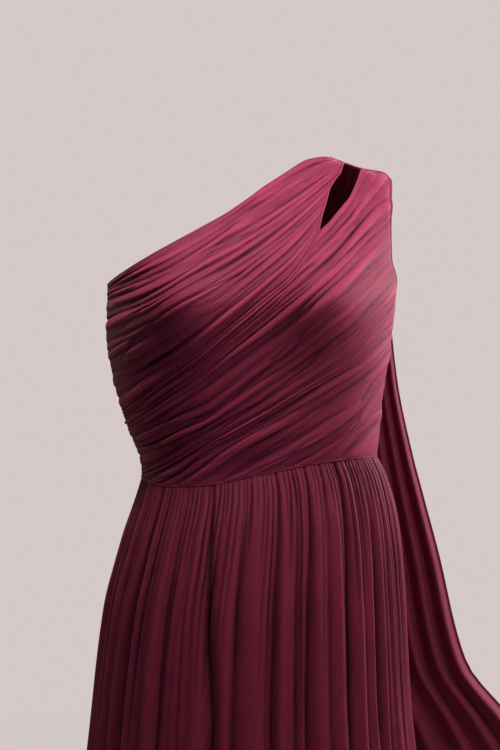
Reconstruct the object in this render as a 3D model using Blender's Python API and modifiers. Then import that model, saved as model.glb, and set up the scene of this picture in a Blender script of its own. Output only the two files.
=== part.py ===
"""One-shoulder evening dress: a pleated bodice with a slit in its strap, a gathered skirt and a shoulder cape.

Metres, +Z up, +X to the wearer's left, and the wearer faces -Y. The cloth keeps the hollow form in which it
is worn. The origin is where the wearer's left shoulder holds the strap up.
"""

import math

import bmesh
import bpy
import numpy as np

# Sizes of the whole dress

NAME = "one_shoulder_dress"
HELD_X, HELD_Y, HELD_Z = 0.130, 0.012, 0.358  # the held shoulder, from the middle of the waist
WALL = 0.0016
SIDE_GAP = 0.0009  # between the middles of two walls where their panels meet at the side
WAIST_GAP = 0.0016
SHOULDER_GAP = 0.0004
ROUNDNESS = 2.4  # 2 would make every section round the body an ellipse
CUP_X, CUP_Z = 0.088, 0.195
CUP_DEPTH, CUP_WIDTH, CUP_HEIGHT = 0.022, 0.050, 0.052

# Pleats and gathers

PLEATS = 38
SLIT_PLEAT = 14  # the slit opens below this pleat
SLIT_ANGLE = 20.7  # where the slit's lower tip lies
PLEAT_DEPTH = 0.0026
PLEAT_LEAN = 0.18  # how far each fold leans down over the next, as a share of its width
GATHERS = 48
MIDDLE_FOLDS = 24
LARGE_FOLDS = 12
CAPE_FOLDS = 9

# Steps of the walls' points

TO_SLIT_STEPS = 8
PAST_SLIT_STEPS = 4
BACK_STEPS = 9
BAND_STEPS = 10
CAPE_STEPS = 4  # to each fold

# The yoke band behind the shoulder seam

BAND_DEPTH = 0.012
BAND_TOP, BAND_FOOT = 0.3730, 0.3542

# Front and back are the depths from mid_y, and mid_x is the middle of the section.
TORSO = np.array(
    [
        (-0.040, 0.1405, 0.098, 0.091, 0.0080, 0.000),
        (0.000, 0.1405, 0.099, 0.092, 0.0080, 0.000),
        (0.050, 0.1510, 0.107, 0.097, 0.0015, 0.000),
        (0.100, 0.1610, 0.116, 0.103, -0.0035, 0.000),
        (0.150, 0.1695, 0.125, 0.109, -0.0040, 0.000),
        (0.190, 0.1715, 0.129, 0.114, -0.0015, 0.000),
        (0.235, 0.1730, 0.117, 0.119, 0.0000, 0.000),
        (0.280, 0.1805, 0.092, 0.117, 0.0000, 0.004),
        (0.312, 0.1850, 0.070, 0.100, 0.0000, 0.008),
        (0.334, 0.1750, 0.053, 0.078, 0.0000, 0.011),
        (0.348, 0.1665, 0.043, 0.060, 0.0000, 0.012),
        (0.3545, 0.1575, 0.037, 0.051, 0.0000, 0.012),
        (0.3590, 0.1330, 0.033, 0.045, 0.0000, 0.012),
        (0.3640, 0.1176, 0.030, 0.040, 0.0000, 0.012),
        (0.3744, 0.0900, 0.022, 0.028, 0.0000, 0.012),
        (0.3850, 0.0620, 0.016, 0.020, 0.0000, 0.012),
    ],
    dtype=[(name, float) for name in ("height", "half_width", "front", "back", "mid_x", "mid_y")],
)

# The waist seam slants up to the wearer's left. Angles run from the panel's middle, -90 at its right side seam.
WAIST_SEAM = np.array(
    [
        (-90, -0.0115, -0.0115),
        (-48, -0.0146, -0.0110),
        (-30, -0.0130, -0.0080),
        (-12, -0.0073, -0.0030),
        (0, 0.0008, 0.0010),
        (13, 0.0097, 0.0045),
        (31, 0.0155, 0.0095),
        (47, 0.0173, 0.0130),
        (90, 0.0151, 0.0151),
    ],
    dtype=[("angle", float), ("front", float), ("back", float)],
)

# A row for each guide fold, counted in pleats from the neckline. The bows are heights above a straight line
# at shares of the way along, and cut_angle is where the slit's inner edge ends the fold.
FOLDS = np.array(
    [
        (0.0, -90, 0.2165, 90.0, 0.3725, 0.0059, 0.0146, 0.0341, 0.0243, 0.0136, 90.0),
        (4.0, -90, 0.1990, 90.0, 0.3660, -0.0116, -0.0027, 0.0217, 0.0222, 0.0132, 90.0),
        (6.0, -90, 0.1750, 90.0, 0.3645, -0.0118, -0.0070, 0.0150, 0.0215, 0.0135, 36.0),
        (9.0, -90, 0.1370, 90.0, 0.3630, -0.0110, -0.0125, 0.0000, 0.0190, 0.0150, 24.3),
        (14.0, -90, 0.0700, 90.0, 0.3592, -0.0173, -0.0266, -0.0264, 0.0190, 0.0202, 20.7),
        (16.5, -90, 0.0620, 90.0, 0.3540, -0.0197, -0.0325, -0.0316, -0.0100, 0.0100, 20.7),
        (18.0, -90, 0.0560, 61.0, 0.3175, -0.0180, -0.0296, -0.0295, -0.0160, -0.0070, 20.7),
        (20.0, -90, 0.0480, 60.0, 0.2976, -0.0178, -0.0296, -0.0313, -0.0237, -0.0130, 20.7),
        (23.0, -90, 0.0300, 66.4, 0.2451, -0.0188, -0.0345, -0.0323, -0.0192, -0.0105, 20.7),
        (26.5, -90, 0.0010, 90.0, 0.2050, -0.0130, -0.0224, -0.0308, -0.0266, -0.0136, 20.7),
        (27.5, -90, -0.0115, 90.0, 0.1930, -0.0100, -0.0200, -0.0270, -0.0245, -0.0130, 20.7),
        (31.0, -40, -0.0095, 90.0, 0.1520, 0.0000, -0.0058, -0.0108, -0.0116, -0.0080, 20.7),
        (34.5, 2, 0.0031, 90.0, 0.1030, -0.0079, -0.0142, -0.0181, -0.0156, -0.0100, 20.7),
        (36.6, 31, 0.0166, 90.0, 0.0660, 0.0010, 0.0020, 0.0020, 0.0010, 0.0000, 20.7),
        (38.0, 48, 0.0172, 90.0, 0.0151, 0.0000, 0.0000, 0.0000, 0.0000, 0.0000, 20.7),
    ],
    dtype=[
        (name, float)
        for name in (
            "pleat",
            "start_angle",
            "start_height",
            "end_angle",
            "end_height",
            "bow_20",
            "bow_40",
            "bow_60",
            "bow_80",
            "bow_90",
            "cut_angle",
        )
    ],
)
BOWS = (20, 40, 60, 80, 90)  # per cent of the way along

# Rows of the skirt by their drop below the waist seam, with how far the three sizes of fold stand out.
SKIRT = np.array(
    [
        (0.000, 0.1405, 0.099, 0.092, 0.0080, 0.0009, 0.0000, 0.0000),
        (0.022, 0.1490, 0.111, 0.103, 0.0100, 0.0019, 0.0008, 0.0000),
        (0.070, 0.1630, 0.129, 0.123, 0.0080, 0.0017, 0.0030, 0.0025),
        (0.150, 0.1770, 0.149, 0.146, 0.0020, 0.0010, 0.0045, 0.0060),
        (0.300, 0.1890, 0.170, 0.174, -0.0020, 0.0006, 0.0045, 0.0105),
        (0.560, 0.2120, 0.198, 0.212, -0.0020, 0.0003, 0.0040, 0.0160),
        (1.042, 0.2680, 0.258, 0.282, 0.0000, 0.0000, 0.0030, 0.0230),
    ],
    dtype=[
        (name, float)
        for name in ("drop", "half_width", "front", "back", "mid_x", "gather", "middle", "large")
    ],
)

# The cape by height: its edges, how far behind the wearer it hangs, its distance from the dress, and how far
# its folds stand out.
CAPE = np.array(
    [
        (0.352, 0.104, 0.156, 0.020, 0.0041, 0.0004),
        (0.342, 0.103, 0.160, 0.035, 0.0068, 0.0006),
        (0.328, 0.102, 0.164, 0.055, 0.0075, 0.0010),
        (0.306, 0.100, 0.168, 0.085, 0.0080, 0.0017),
        (0.270, 0.095, 0.173, 0.110, 0.0085, 0.0026),
        (0.200, 0.086, 0.179, 0.130, 0.0085, 0.0045),
        (0.100, 0.072, 0.190, 0.136, 0.0080, 0.0065),
        (0.000, 0.058, 0.211, 0.140, 0.0090, 0.0085),
        (-0.130, 0.044, 0.246, 0.145, 0.0090, 0.0110),
        (-0.278, 0.034, 0.285, 0.155, 0.0100, 0.0140),
        (-0.360, 0.028, 0.350, 0.165, 0.0100, 0.0160),
        (-0.520, 0.020, 0.462, 0.190, 0.0100, 0.0190),
        (-0.760, 0.010, 0.560, 0.230, 0.0100, 0.0230),
        (-1.036, 0.000, 0.625, 0.280, 0.0100, 0.0270),
    ],
    dtype=[(name, float) for name in ("height", "inner", "outer", "behind", "clear", "fold")],
)

# Looks: colour, roughness

CHIFFON = ((0.165, 0.016, 0.045), 0.62)
CHIFFON_SKIRT = ((0.120, 0.012, 0.034), 0.62)
CHIFFON_CAPE = ((0.105, 0.010, 0.028), 0.60)
BAND_CLOTH = ((0.210, 0.030, 0.068), 0.60)


def smooth_through(places, values, at):
    """A smooth curve through the values that never overshoots them."""
    places = np.asarray(places, float)
    values = np.asarray(values, float)
    slopes = np.diff(values) / np.diff(places)
    tangents = np.zeros(len(values))
    tangents[0], tangents[-1] = slopes[0], slopes[-1]
    for i in range(1, len(values) - 1):
        before, after = slopes[i - 1], slopes[i]
        if before * after > 0:
            tangents[i] = 2 * before * after / (before + after)
    at = np.clip(np.asarray(at, float), places[0], places[-1])
    i = np.clip(np.searchsorted(places, at, side="right") - 1, 0, len(places) - 2)
    step = places[i + 1] - places[i]
    t = (at - places[i]) / step
    ends = values[i] * (1 + 2 * t) * (1 - t) ** 2 + values[i + 1] * t * t * (3 - 2 * t)
    return ends + step * t * (1 - t) * (tangents[i] * (1 - t) - tangents[i + 1] * t)


def column(table, name, at):
    return smooth_through(table[table.dtype.names[0]], table[name], at)


def across_at(angle):
    """How far across a panel an angle lies: -1 and 1 are its side seams."""
    sine = np.sin(np.radians(angle))
    return np.sign(sine) * np.abs(sine) ** (2 / ROUNDNESS)


def angle_at(across):
    return np.degrees(np.sign(across) * np.arcsin(np.clip(np.abs(across), 0, 1) ** (ROUNDNESS / 2)))


def depth_at(across):
    """The share of a section's depth that is left this far across."""
    return np.clip(1 - np.abs(across) ** ROUNDNESS, 0, 1) ** (1 / ROUNDNESS)


def torso_point(across, height, side):
    """A point of the dressed torso. The side is -1 for the front and 1 for the back."""
    across, height = np.broadcast_arrays(np.asarray(across, float), np.asarray(height, float))
    x = column(TORSO, "mid_x", height) + column(TORSO, "half_width", height) * across
    depth = column(TORSO, "front" if side < 0 else "back", height) * depth_at(across)
    if side < 0:
        for cup in (-CUP_X, CUP_X):
            away = ((x - cup) / CUP_WIDTH) ** 2 + ((height - CUP_Z) / CUP_HEIGHT) ** 2
            depth = depth + CUP_DEPTH * np.exp(-away) * depth_at(across) ** 0.5
    y = column(TORSO, "mid_y", height) + side * (depth + SIDE_GAP / 2)
    return np.stack([x, y, height], axis=-1)


def waist_height(angle, side):
    return column(WAIST_SEAM, "front" if side < 0 else "back", angle)


def unevenness(index, seed):
    """A repeatable value near 1 for each fold, so that no two neighbours match."""
    return 1 + 0.32 * math.sin(2.1 * index + seed) + 0.2 * math.sin(5.3 * index + 2 * seed)


def pleat_place(row, first, last, seed):
    """Where a row of points lies, counted in pleats, with uneven widths between first and last."""
    place = first + row / 2
    swell = math.sin(math.pi * (place - first) / (last - first))
    place += swell * (0.2 * math.sin(1.7 * place + seed) + 0.14 * math.sin(0.9 * place + 2 + seed))
    if row % 2:
        place += PLEAT_LEAN * min(1, swell * 4)
    return min(place, last)


def fold_row(pleat, steps, side, cut_steps=None):
    """Points along one diagonal fold, from the right side or the waist up to the left side or the shoulder."""
    start = float(np.interp(pleat, FOLDS["pleat"], FOLDS["start_angle"]))
    end = float(column(FOLDS, "end_angle", pleat))
    cut = float(column(FOLDS, "cut_angle", pleat))
    if cut_steps is None:
        angles = np.linspace(start, end, steps + 1)
    elif steps == 0:
        angles = np.linspace(start, min(cut, end), cut_steps + 1)
    else:
        turn = start + (end - start) * (SLIT_ANGLE + 90) / 180
        past = np.linspace(0, 1, steps + 1)[1:] ** 1.8
        angles = np.concatenate([np.linspace(start, turn, cut_steps + 1), turn + (end - turn) * past])
    start_height = float(np.interp(pleat, FOLDS["pleat"], FOLDS["start_height"]))
    if start > -90:
        start_height = float(waist_height(start, side))
    end_height = float(column(FOLDS, "end_height", pleat))
    across = across_at(angles)
    first, last = across_at(start), across_at(end)
    along = (across - first) / (last - first)
    bows = [0.0] + [float(column(FOLDS, f"bow_{share}", pleat)) for share in BOWS] + [0.0]
    height = start_height + (end_height - start_height) * along
    height = height + smooth_through([0, *(share / 100 for share in BOWS), 1], bows, along)
    height = np.maximum(height, waist_height(angles, side))
    return across, height


def outward(points):
    """Unit normals of a grid of points, rows by columns, that face away from the middle of the dress."""
    down, along = np.gradient(points, axis=0), np.gradient(points, axis=1)
    normals = np.cross(down, along)
    normals /= np.linalg.norm(normals, axis=-1, keepdims=True) + 1e-12
    away = points * (1, 1, 0) - (0.01, 0, 0)
    flip = np.sign((normals * away).sum(axis=-1).mean())
    return normals * flip


def material(name, look):
    made = bpy.data.materials.new(name)
    made.use_nodes = True
    shader = made.node_tree.nodes["Principled BSDF"]
    colour, roughness = look
    shader.inputs["Base Color"].default_value = (*colour, 1)
    shader.inputs["Roughness"].default_value = roughness
    shader.inputs["Metallic"].default_value = 0
    made.diffuse_color = (*colour, 1)
    return made


def cloth(name, points, quads, look, home, parent):
    """One panel: an open surface through the points, made a wall by Solidify."""
    mesh = bpy.data.meshes.new(name)
    mesh.from_pydata([tuple(p) for p in points], [], quads)
    surface = bmesh.new()
    surface.from_mesh(mesh)
    bmesh.ops.recalc_face_normals(surface, faces=surface.faces)
    surface.to_mesh(mesh)
    surface.free()
    mesh.materials.append(material(name + "_cloth", look))
    mesh.shade_smooth()
    panel = bpy.data.objects.new(name, mesh)
    panel.parent = parent
    home.objects.link(panel)
    wall = panel.modifiers.new("wall", "SOLIDIFY")
    wall.thickness = WALL
    wall.offset = 0
    return panel


def grid_quads(rows, columns, start=0):
    """Quads between neighbouring points of a grid that is stored row by row."""
    quads = []
    for i in range(rows - 1):
        for j in range(columns - 1):
            corner = start + i * columns + j
            quads.append((corner, corner + 1, corner + columns + 1, corner + columns))
    return quads


def pleated(rows_of, first, last, side, seed):
    """A grid of points on the torso, raised and sunk by the pleats that follow its rows."""
    rows = 2 * (last - first) + 1
    points, lifts = [], []
    for row in range(rows):
        place = pleat_place(row, first, last, seed)
        across, height = rows_of(place)
        points.append(torso_point(across, height, side))
        ends = np.linspace(0, 1, len(across))
        sewn = 0.35 + 0.65 * np.clip(np.minimum(ends, 1 - ends) * 7, 0, 1)
        sewn = sewn * min(1, 0.3 + place / 2, 0.15 + (PLEATS - place) / 2)
        strength = unevenness(row // 2, seed) * (1 if row % 2 else -1) / 2
        lifts.append(PLEAT_DEPTH * strength * sewn)
    points, lifts = np.array(points), np.array(lifts)
    return points + outward(points) * lifts[..., None]


def front_bodice():
    upper = pleated(
        lambda place: fold_row(place, 0, -1, TO_SLIT_STEPS), 0, SLIT_PLEAT, -1, 0.4
    )
    lower = pleated(
        lambda place: fold_row(place, PAST_SLIT_STEPS, -1, TO_SLIT_STEPS), SLIT_PLEAT, PLEATS, -1, 0.4
    )
    columns = TO_SLIT_STEPS + 1
    upper_rows = len(upper) - 1
    lower_columns = lower.shape[1]
    points = np.concatenate([upper[:-1].reshape(-1, 3), lower.reshape(-1, 3)])
    quads = grid_quads(upper_rows, columns)
    start = upper_rows * columns
    quads += grid_quads(len(lower), lower_columns, start)
    above = start - columns
    for j in range(columns - 1):
        quads.append((above + j, above + j + 1, start + j + 1, start + j))
    return points, quads


def across_behind(height, depth):
    """How far across the back a point lies that is this far behind the shoulder's ridge."""
    left = np.clip(depth / column(TORSO, "back", height), 0, 1)
    return (1 - left**ROUNDNESS) ** (1 / ROUNDNESS)


def back_row(pleat):
    """A fold of the back, which ends at the yoke band where the front's ends at the shoulder."""
    across, height = fold_row(pleat, BACK_STEPS, 1)
    if height[-1] > BAND_FOOT - 0.008:
        stop = across_behind(height[-1], BAND_DEPTH + SHOULDER_GAP)
        angles = np.linspace(-90, angle_at(stop), BACK_STEPS + 1)
        height = smooth_through(across, height, across_at(angles))
        across = across_at(angles)
    return across, height


def back_bodice():
    points = pleated(back_row, 0, PLEATS, 1, 1.9)
    return points.reshape(-1, 3), grid_quads(*points.shape[:2])


def shoulder_band():
    heights = np.linspace(BAND_TOP, BAND_FOOT, BAND_STEPS + 1)
    depths = np.array([0.0, 0.25, 0.6, 1.0]) * BAND_DEPTH
    points = np.array([torso_point(across_behind(z, depths), z, 1) for z in heights])
    return points.reshape(-1, 3), grid_quads(*points.shape[:2])


def uneven_turn(share, seed):
    """Moves folds along the cloth, so that they aren't evenly spaced."""
    wave = 0.010 * np.sin(4 * np.pi * share + seed) + 0.006 * np.sin(10 * np.pi * share + 2.3 * seed)
    return share + wave * np.sin(np.pi * share)


def skirt_height(drop, angle, side):
    """The rows follow the slanted waist seam and come level with the hem."""
    seam = waist_height(angle, side) - WAIST_GAP
    return seam * (1 - drop / SKIRT["drop"][-1]) - drop


def skirt_section(drop, angle, side):
    """The skirt's smooth form before its folds."""
    across = across_at(angle)
    x = column(SKIRT, "mid_x", drop) + column(SKIRT, "half_width", drop) * across
    depth = column(SKIRT, "front" if side < 0 else "back", drop) * depth_at(across)
    y = side * (depth + SIDE_GAP / 2)
    return np.stack([x, y, skirt_height(drop, angle, side)], axis=-1)


def skirt_panel(side, seed):
    count = 2 * GATHERS
    share = np.linspace(0, 1, count + 1)
    angles = 180 * share - 90
    to_seam = np.minimum(np.arange(count + 1), count - np.arange(count + 1))
    free = np.clip((to_seam - 1) / 3, 0, 1)
    zigzag = np.array([unevenness(j // 2, seed) * (1 if j % 2 else -1) for j in range(count + 1)])
    moved = uneven_turn(share, seed)
    middle = np.cos(2 * np.pi * MIDDLE_FOLDS * moved + 0.4 * seed)
    sizes = np.array([unevenness(round(LARGE_FOLDS * s), seed + 1) for s in moved])
    large = np.cos(2 * np.pi * LARGE_FOLDS * moved + seed) * (0.55 + 0.45 * sizes)
    rows, lifts = [], []
    for level in SKIRT:
        rows.append(skirt_section(level["drop"], angles, side))
        lifts.append(free * (level["gather"] * zigzag + level["middle"] * middle + level["large"] * large))
    points, lifts = np.array(rows), np.array(lifts)
    points += outward(points) * lifts[..., None]
    return points.reshape(-1, 3), grid_quads(*points.shape[:2])


def behind_dress(x, height):
    """How far back the bodice or the skirt reaches at a place seen from behind, without its folds."""
    drop = np.clip(-height, SKIRT["drop"][0], SKIRT["drop"][-1])
    above = np.clip(height / 0.02 + 0.5, 0, 1)
    middle = above * column(TORSO, "mid_x", height) + (1 - above) * column(SKIRT, "mid_x", drop)
    wide = above * column(TORSO, "half_width", height) + (1 - above) * column(SKIRT, "half_width", drop)
    deep = above * column(TORSO, "back", height) + (1 - above) * column(SKIRT, "back", drop)
    folds = (1 - above) * (column(SKIRT, "large", drop) + column(SKIRT, "middle", drop))
    across = np.clip((x - middle) / wide, -1, 1)
    return above * column(TORSO, "mid_y", height) + deep * depth_at(across) + folds


def resting_behind(x, height, clearance):
    """Points moved straight out from the back of the dress."""
    small = 0.002
    by_x = (behind_dress(x + small, height) - behind_dress(x - small, height)) / (2 * small)
    by_z = (behind_dress(x, height + small) - behind_dress(x, height - small)) / (2 * small)
    by_x, by_z = np.clip(by_x, -1.5, 1.5), np.clip(by_z, -3, 3)
    out = np.stack([-by_x, np.ones_like(x), -by_z], axis=-1)
    out /= np.linalg.norm(out, axis=-1, keepdims=True)
    return np.stack([x, behind_dress(x, height), height], axis=-1) + out * np.asarray(clearance)[..., None]


def shoulder_cape():
    """A panel gathered into the back of the shoulder, which falls behind the left side and spreads to the floor."""
    count = CAPE_FOLDS * CAPE_STEPS
    share = np.linspace(0, 1, count + 1)
    folds = np.cos(2 * np.pi * CAPE_FOLDS * uneven_turn(share, 0.8)) * (
        0.75 + 0.25 * np.sin(7 * share + 0.6)
    )
    top_heights = np.linspace(0.3655, 0.3520, count + 1)
    rows = []
    for level in CAPE:
        fall = (CAPE["height"][0] - level["height"]) / 0.12
        slant = (top_heights - CAPE["height"][0]) * max(0, 1 - fall)
        height = level["height"] + slant
        x = level["inner"] + (level["outer"] - level["inner"]) * share
        points = resting_behind(x, height, level["clear"] + level["fold"] + 0 * x)
        short = level["behind"] - points[:, 1]
        soft = 0.012 * min(1, fall)
        points[:, 1] += (short + np.sqrt(short**2 + soft**2)) / 2 + level["fold"] * folds
        rows.append(points)
    points = np.array(rows)
    return points.reshape(-1, 3), grid_quads(*points.shape[:2])


def main():
    for old in list(bpy.data.objects):
        bpy.data.objects.remove(old)
    home = bpy.data.collections.new(NAME)
    bpy.context.scene.collection.children.link(home)
    held = bpy.data.objects.new("held_shoulder", None)
    home.objects.link(held)
    middle = bpy.data.objects.new("waist_middle", None)
    middle.location = (-HELD_X, -HELD_Y, -HELD_Z)
    middle.parent = held
    home.objects.link(middle)
    cloth("front_bodice", *front_bodice(), CHIFFON, home, middle)
    cloth("back_bodice", *back_bodice(), CHIFFON, home, middle)
    cloth("shoulder_band", *shoulder_band(), BAND_CLOTH, home, middle)
    cloth("skirt_front", *skirt_panel(-1, 0.7), CHIFFON_SKIRT, home, middle)
    cloth("skirt_back", *skirt_panel(1, 1.6), CHIFFON_SKIRT, home, middle)
    cloth("cape", *shoulder_cape(), CHIFFON_CAPE, home, middle)
    bpy.context.view_layer.update()


main()
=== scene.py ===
# %% [markdown]
# # A one-shoulder chiffon dress
#
# The dress hangs as if it were worn: a bodice covered in diagonal pleats, a slit in its one strap, a skirt
# gathered into the waist seam, and a loose cape from the back of the shoulder. Its solids are thick and plain.
# This script keeps their place and their size and gives each panel a fine sheet of cloth instead, with the
# creases that the plain solids leave out, and then the finishes, the edges and the sewing.

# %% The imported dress
import math

import bpy
import numpy as np
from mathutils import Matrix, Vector


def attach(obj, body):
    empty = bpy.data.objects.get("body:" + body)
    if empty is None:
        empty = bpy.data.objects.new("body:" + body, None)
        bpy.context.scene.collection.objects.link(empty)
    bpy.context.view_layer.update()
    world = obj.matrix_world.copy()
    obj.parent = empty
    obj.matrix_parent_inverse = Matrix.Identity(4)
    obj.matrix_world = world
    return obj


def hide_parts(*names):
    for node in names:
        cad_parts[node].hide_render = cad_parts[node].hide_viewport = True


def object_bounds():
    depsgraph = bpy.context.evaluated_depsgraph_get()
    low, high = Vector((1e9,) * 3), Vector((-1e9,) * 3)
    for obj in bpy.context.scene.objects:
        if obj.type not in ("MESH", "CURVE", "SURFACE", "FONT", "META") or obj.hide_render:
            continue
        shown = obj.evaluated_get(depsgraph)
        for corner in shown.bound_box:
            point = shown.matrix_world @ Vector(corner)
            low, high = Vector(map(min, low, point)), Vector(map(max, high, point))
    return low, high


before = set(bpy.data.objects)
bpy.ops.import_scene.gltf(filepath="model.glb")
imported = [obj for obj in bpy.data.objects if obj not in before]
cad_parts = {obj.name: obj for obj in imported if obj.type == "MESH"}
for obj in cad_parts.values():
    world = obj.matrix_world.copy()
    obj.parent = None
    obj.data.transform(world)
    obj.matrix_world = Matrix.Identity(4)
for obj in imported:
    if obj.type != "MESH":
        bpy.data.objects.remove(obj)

solid_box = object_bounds()
print("The solids reach from", *(f"{v:.3f}" for v in solid_box[0]), "to", *(f"{v:.3f}" for v in solid_box[1]))

# %% [markdown]
# ## Camera
#
# The view is level, at the height of the bust, and close. A long lens keeps the dress from spreading at its
# edges. The frame shows more of the skirt than a level view would, and a real camera does that with a rising
# front. Blender's word for it is shift, and a small one is enough.

# %% Camera
HELD = np.array((0.130, 0.012, 0.358))  # the held shoulder, from the middle of the waist

camera_data = bpy.data.cameras.new("camera")
camera_data.lens = 59.8
camera_data.sensor_width = 36
camera_data.shift_y = -0.06
camera_data.clip_end = 60
camera = bpy.data.objects.new("camera", camera_data)
camera.location = (-0.1328, -1.512, -0.194)
camera.rotation_euler = (math.radians(90), 0, 0)
bpy.context.scene.collection.objects.link(camera)
bpy.context.scene.camera = camera
print("Camera", *(f"{v:.3f}" for v in camera.location), "with a lens of", round(camera_data.lens, 1), "mm")

# %% [markdown]
# ## Floor, room and lights
#
# The room is a pale, faintly pink grey. The camera sees that colour, but as a lamp it would wash the dark
# cloth out, so the Light Path node gives the camera the pale room and the dress a much dimmer one. The floor
# is a wide disc that fades out at its rim, which leaves no edge in the picture from any side.
#
# Soft lamps stand high and near, most of them to the right, as in a small studio. Light from there falls off
# down the dress. It makes the shoulder bright and lets the other side of the waist fall nearly to black. Two
# wide lamps behind show the back in the views from there and stay low, so they don't edge the shoulder.

# %% Floor, room and lights
ROOM_COLOUR = (0.665, 0.585, 0.575)
ROOM_LIGHT = 0.03  # how much of the room's brightness falls on the dress
FLOOR_RADIUS = 3.2
LAMPS = (  # name, place, aimed at, width, watts, colour
    ("key", (1.30, -0.30, 0.90), (0.0, -0.05, -0.05), 0.50, 9, (1.0, 0.94, 0.92)),
    ("near", (0.55, -0.75, 0.55), (0.0, -0.05, -0.05), 0.35, 6.5, (1.0, 0.94, 0.92)),
    ("right", (1.70, -0.70, 0.50), (-0.06, -0.10, -0.12), 0.60, 3.5, (1.0, 0.94, 0.92)),
    ("above", (-0.30, -0.50, 1.20), (-0.20, -0.08, -0.10), 0.40, 23, (1.0, 0.94, 0.92)),
    ("cape", (1.50, 0.60, 0.20), (0.10, 0.10, -0.50), 0.60, 40, (1.0, 0.94, 0.92)),
    ("back", (0.60, 2.40, 0.35), (-0.10, 0.05, -0.45), 1.4, 36, (1.0, 0.94, 0.92)),
    ("back_left", (-2.30, 1.20, 0.30), (-0.13, 0.0, -0.50), 1.4, 9, (1.0, 0.95, 0.94)),
)


def lamp(name, place, aimed_at, width, watts, colour):
    data = bpy.data.lights.new(name, "AREA")
    data.shape = "DISK"
    data.size = width
    data.energy = watts
    data.color = colour
    made = bpy.data.objects.new(name, data)
    made.location = place
    made.rotation_euler = (Vector(aimed_at) - Vector(place)).to_track_quat("-Z", "Y").to_euler()
    bpy.context.scene.collection.objects.link(made)
    return made


for one in LAMPS:
    lamp(*one)

world = bpy.data.worlds.new("room")
bpy.context.scene.world = world
world.use_nodes = True
nodes = world.node_tree.nodes
links = world.node_tree.links
nodes.clear()
seen = nodes.new("ShaderNodeBackground")
seen.inputs["Color"].default_value = (*ROOM_COLOUR, 1)
lit = nodes.new("ShaderNodeBackground")
lit.inputs["Color"].default_value = (*ROOM_COLOUR, 1)
lit.inputs["Strength"].default_value = ROOM_LIGHT
chooser = nodes.new("ShaderNodeMixShader")
path = nodes.new("ShaderNodeLightPath")
ending = nodes.new("ShaderNodeOutputWorld")
links.new(path.outputs["Is Camera Ray"], chooser.inputs["Fac"])
links.new(lit.outputs["Background"], chooser.inputs[1])
links.new(seen.outputs["Background"], chooser.inputs[2])
links.new(chooser.outputs["Shader"], ending.inputs["Surface"])


def floor_disc(radius, height):
    rings = 24
    sides = 96
    points = [(0.0, 0.0, height)]
    faces = []
    for ring in range(1, rings + 1):
        for side in range(sides):
            turn = 2 * math.pi * side / sides
            reach = radius * ring / rings
            points.append((reach * math.cos(turn), reach * math.sin(turn), height))
    for side in range(sides):
        faces.append((0, 1 + side, 1 + (side + 1) % sides))
    for ring in range(rings - 1):
        start = 1 + ring * sides
        for side in range(sides):
            beside = (side + 1) % sides
            faces.append((start + side, start + sides + side, start + sides + beside, start + beside))
    mesh = bpy.data.meshes.new("floor")
    mesh.from_pydata(points, [], faces)
    made = bpy.data.objects.new("floor", mesh)
    bpy.context.scene.collection.objects.link(made)
    return made


def floor_finish():
    made = bpy.data.materials.new("floor")
    made.use_nodes = True
    tree = made.node_tree
    shader = tree.nodes["Principled BSDF"]
    shader.inputs["Base Color"].default_value = (0.66, 0.62, 0.61, 1)
    shader.inputs["Roughness"].default_value = 0.75
    place = tree.nodes.new("ShaderNodeTexCoord")
    length = tree.nodes.new("ShaderNodeVectorMath")
    length.operation = "LENGTH"
    fade = tree.nodes.new("ShaderNodeMapRange")
    fade.interpolation_type = "SMOOTHERSTEP"
    fade.inputs["From Min"].default_value = 0.9
    fade.inputs["From Max"].default_value = FLOOR_RADIUS * 0.95
    fade.inputs["To Min"].default_value = 1
    fade.inputs["To Max"].default_value = 0
    tree.links.new(place.outputs["Object"], length.inputs[0])
    tree.links.new(length.outputs["Value"], fade.inputs["Value"])
    tree.links.new(fade.outputs["Result"], shader.inputs["Alpha"])
    return made


floor = floor_disc(FLOOR_RADIUS, solid_box[0].z - 0.001)
floor.data.materials.append(floor_finish())
bpy.context.scene.view_settings.view_transform = "Standard"
print("Floor of", FLOOR_RADIUS, "m and", len(LAMPS), "lamps")

# %% [markdown]
# ## The form under the cloth
#
# Every panel rests on the same few sections: for each height, how wide the dress is and how deep in front and
# behind. A smooth curve through a dozen such rows is enough for a torso, and it can be asked for a point at any
# place, so the fine sheets and the plain solids agree. The numbers are from the middle of the waist, in metres.

# %% Sections of the torso
ROUNDNESS = 2.4  # 2 would make every section an ellipse
SIDE_GAP = 0.0009
WAIST_GAP = 0.0016
CUP_X, CUP_Z = 0.088, 0.195
CUP_DEPTH, CUP_WIDTH, CUP_HEIGHT = 0.022, 0.050, 0.052


def table(names, rows):
    return np.array(rows, dtype=[(name, float) for name in names.split()])


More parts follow.
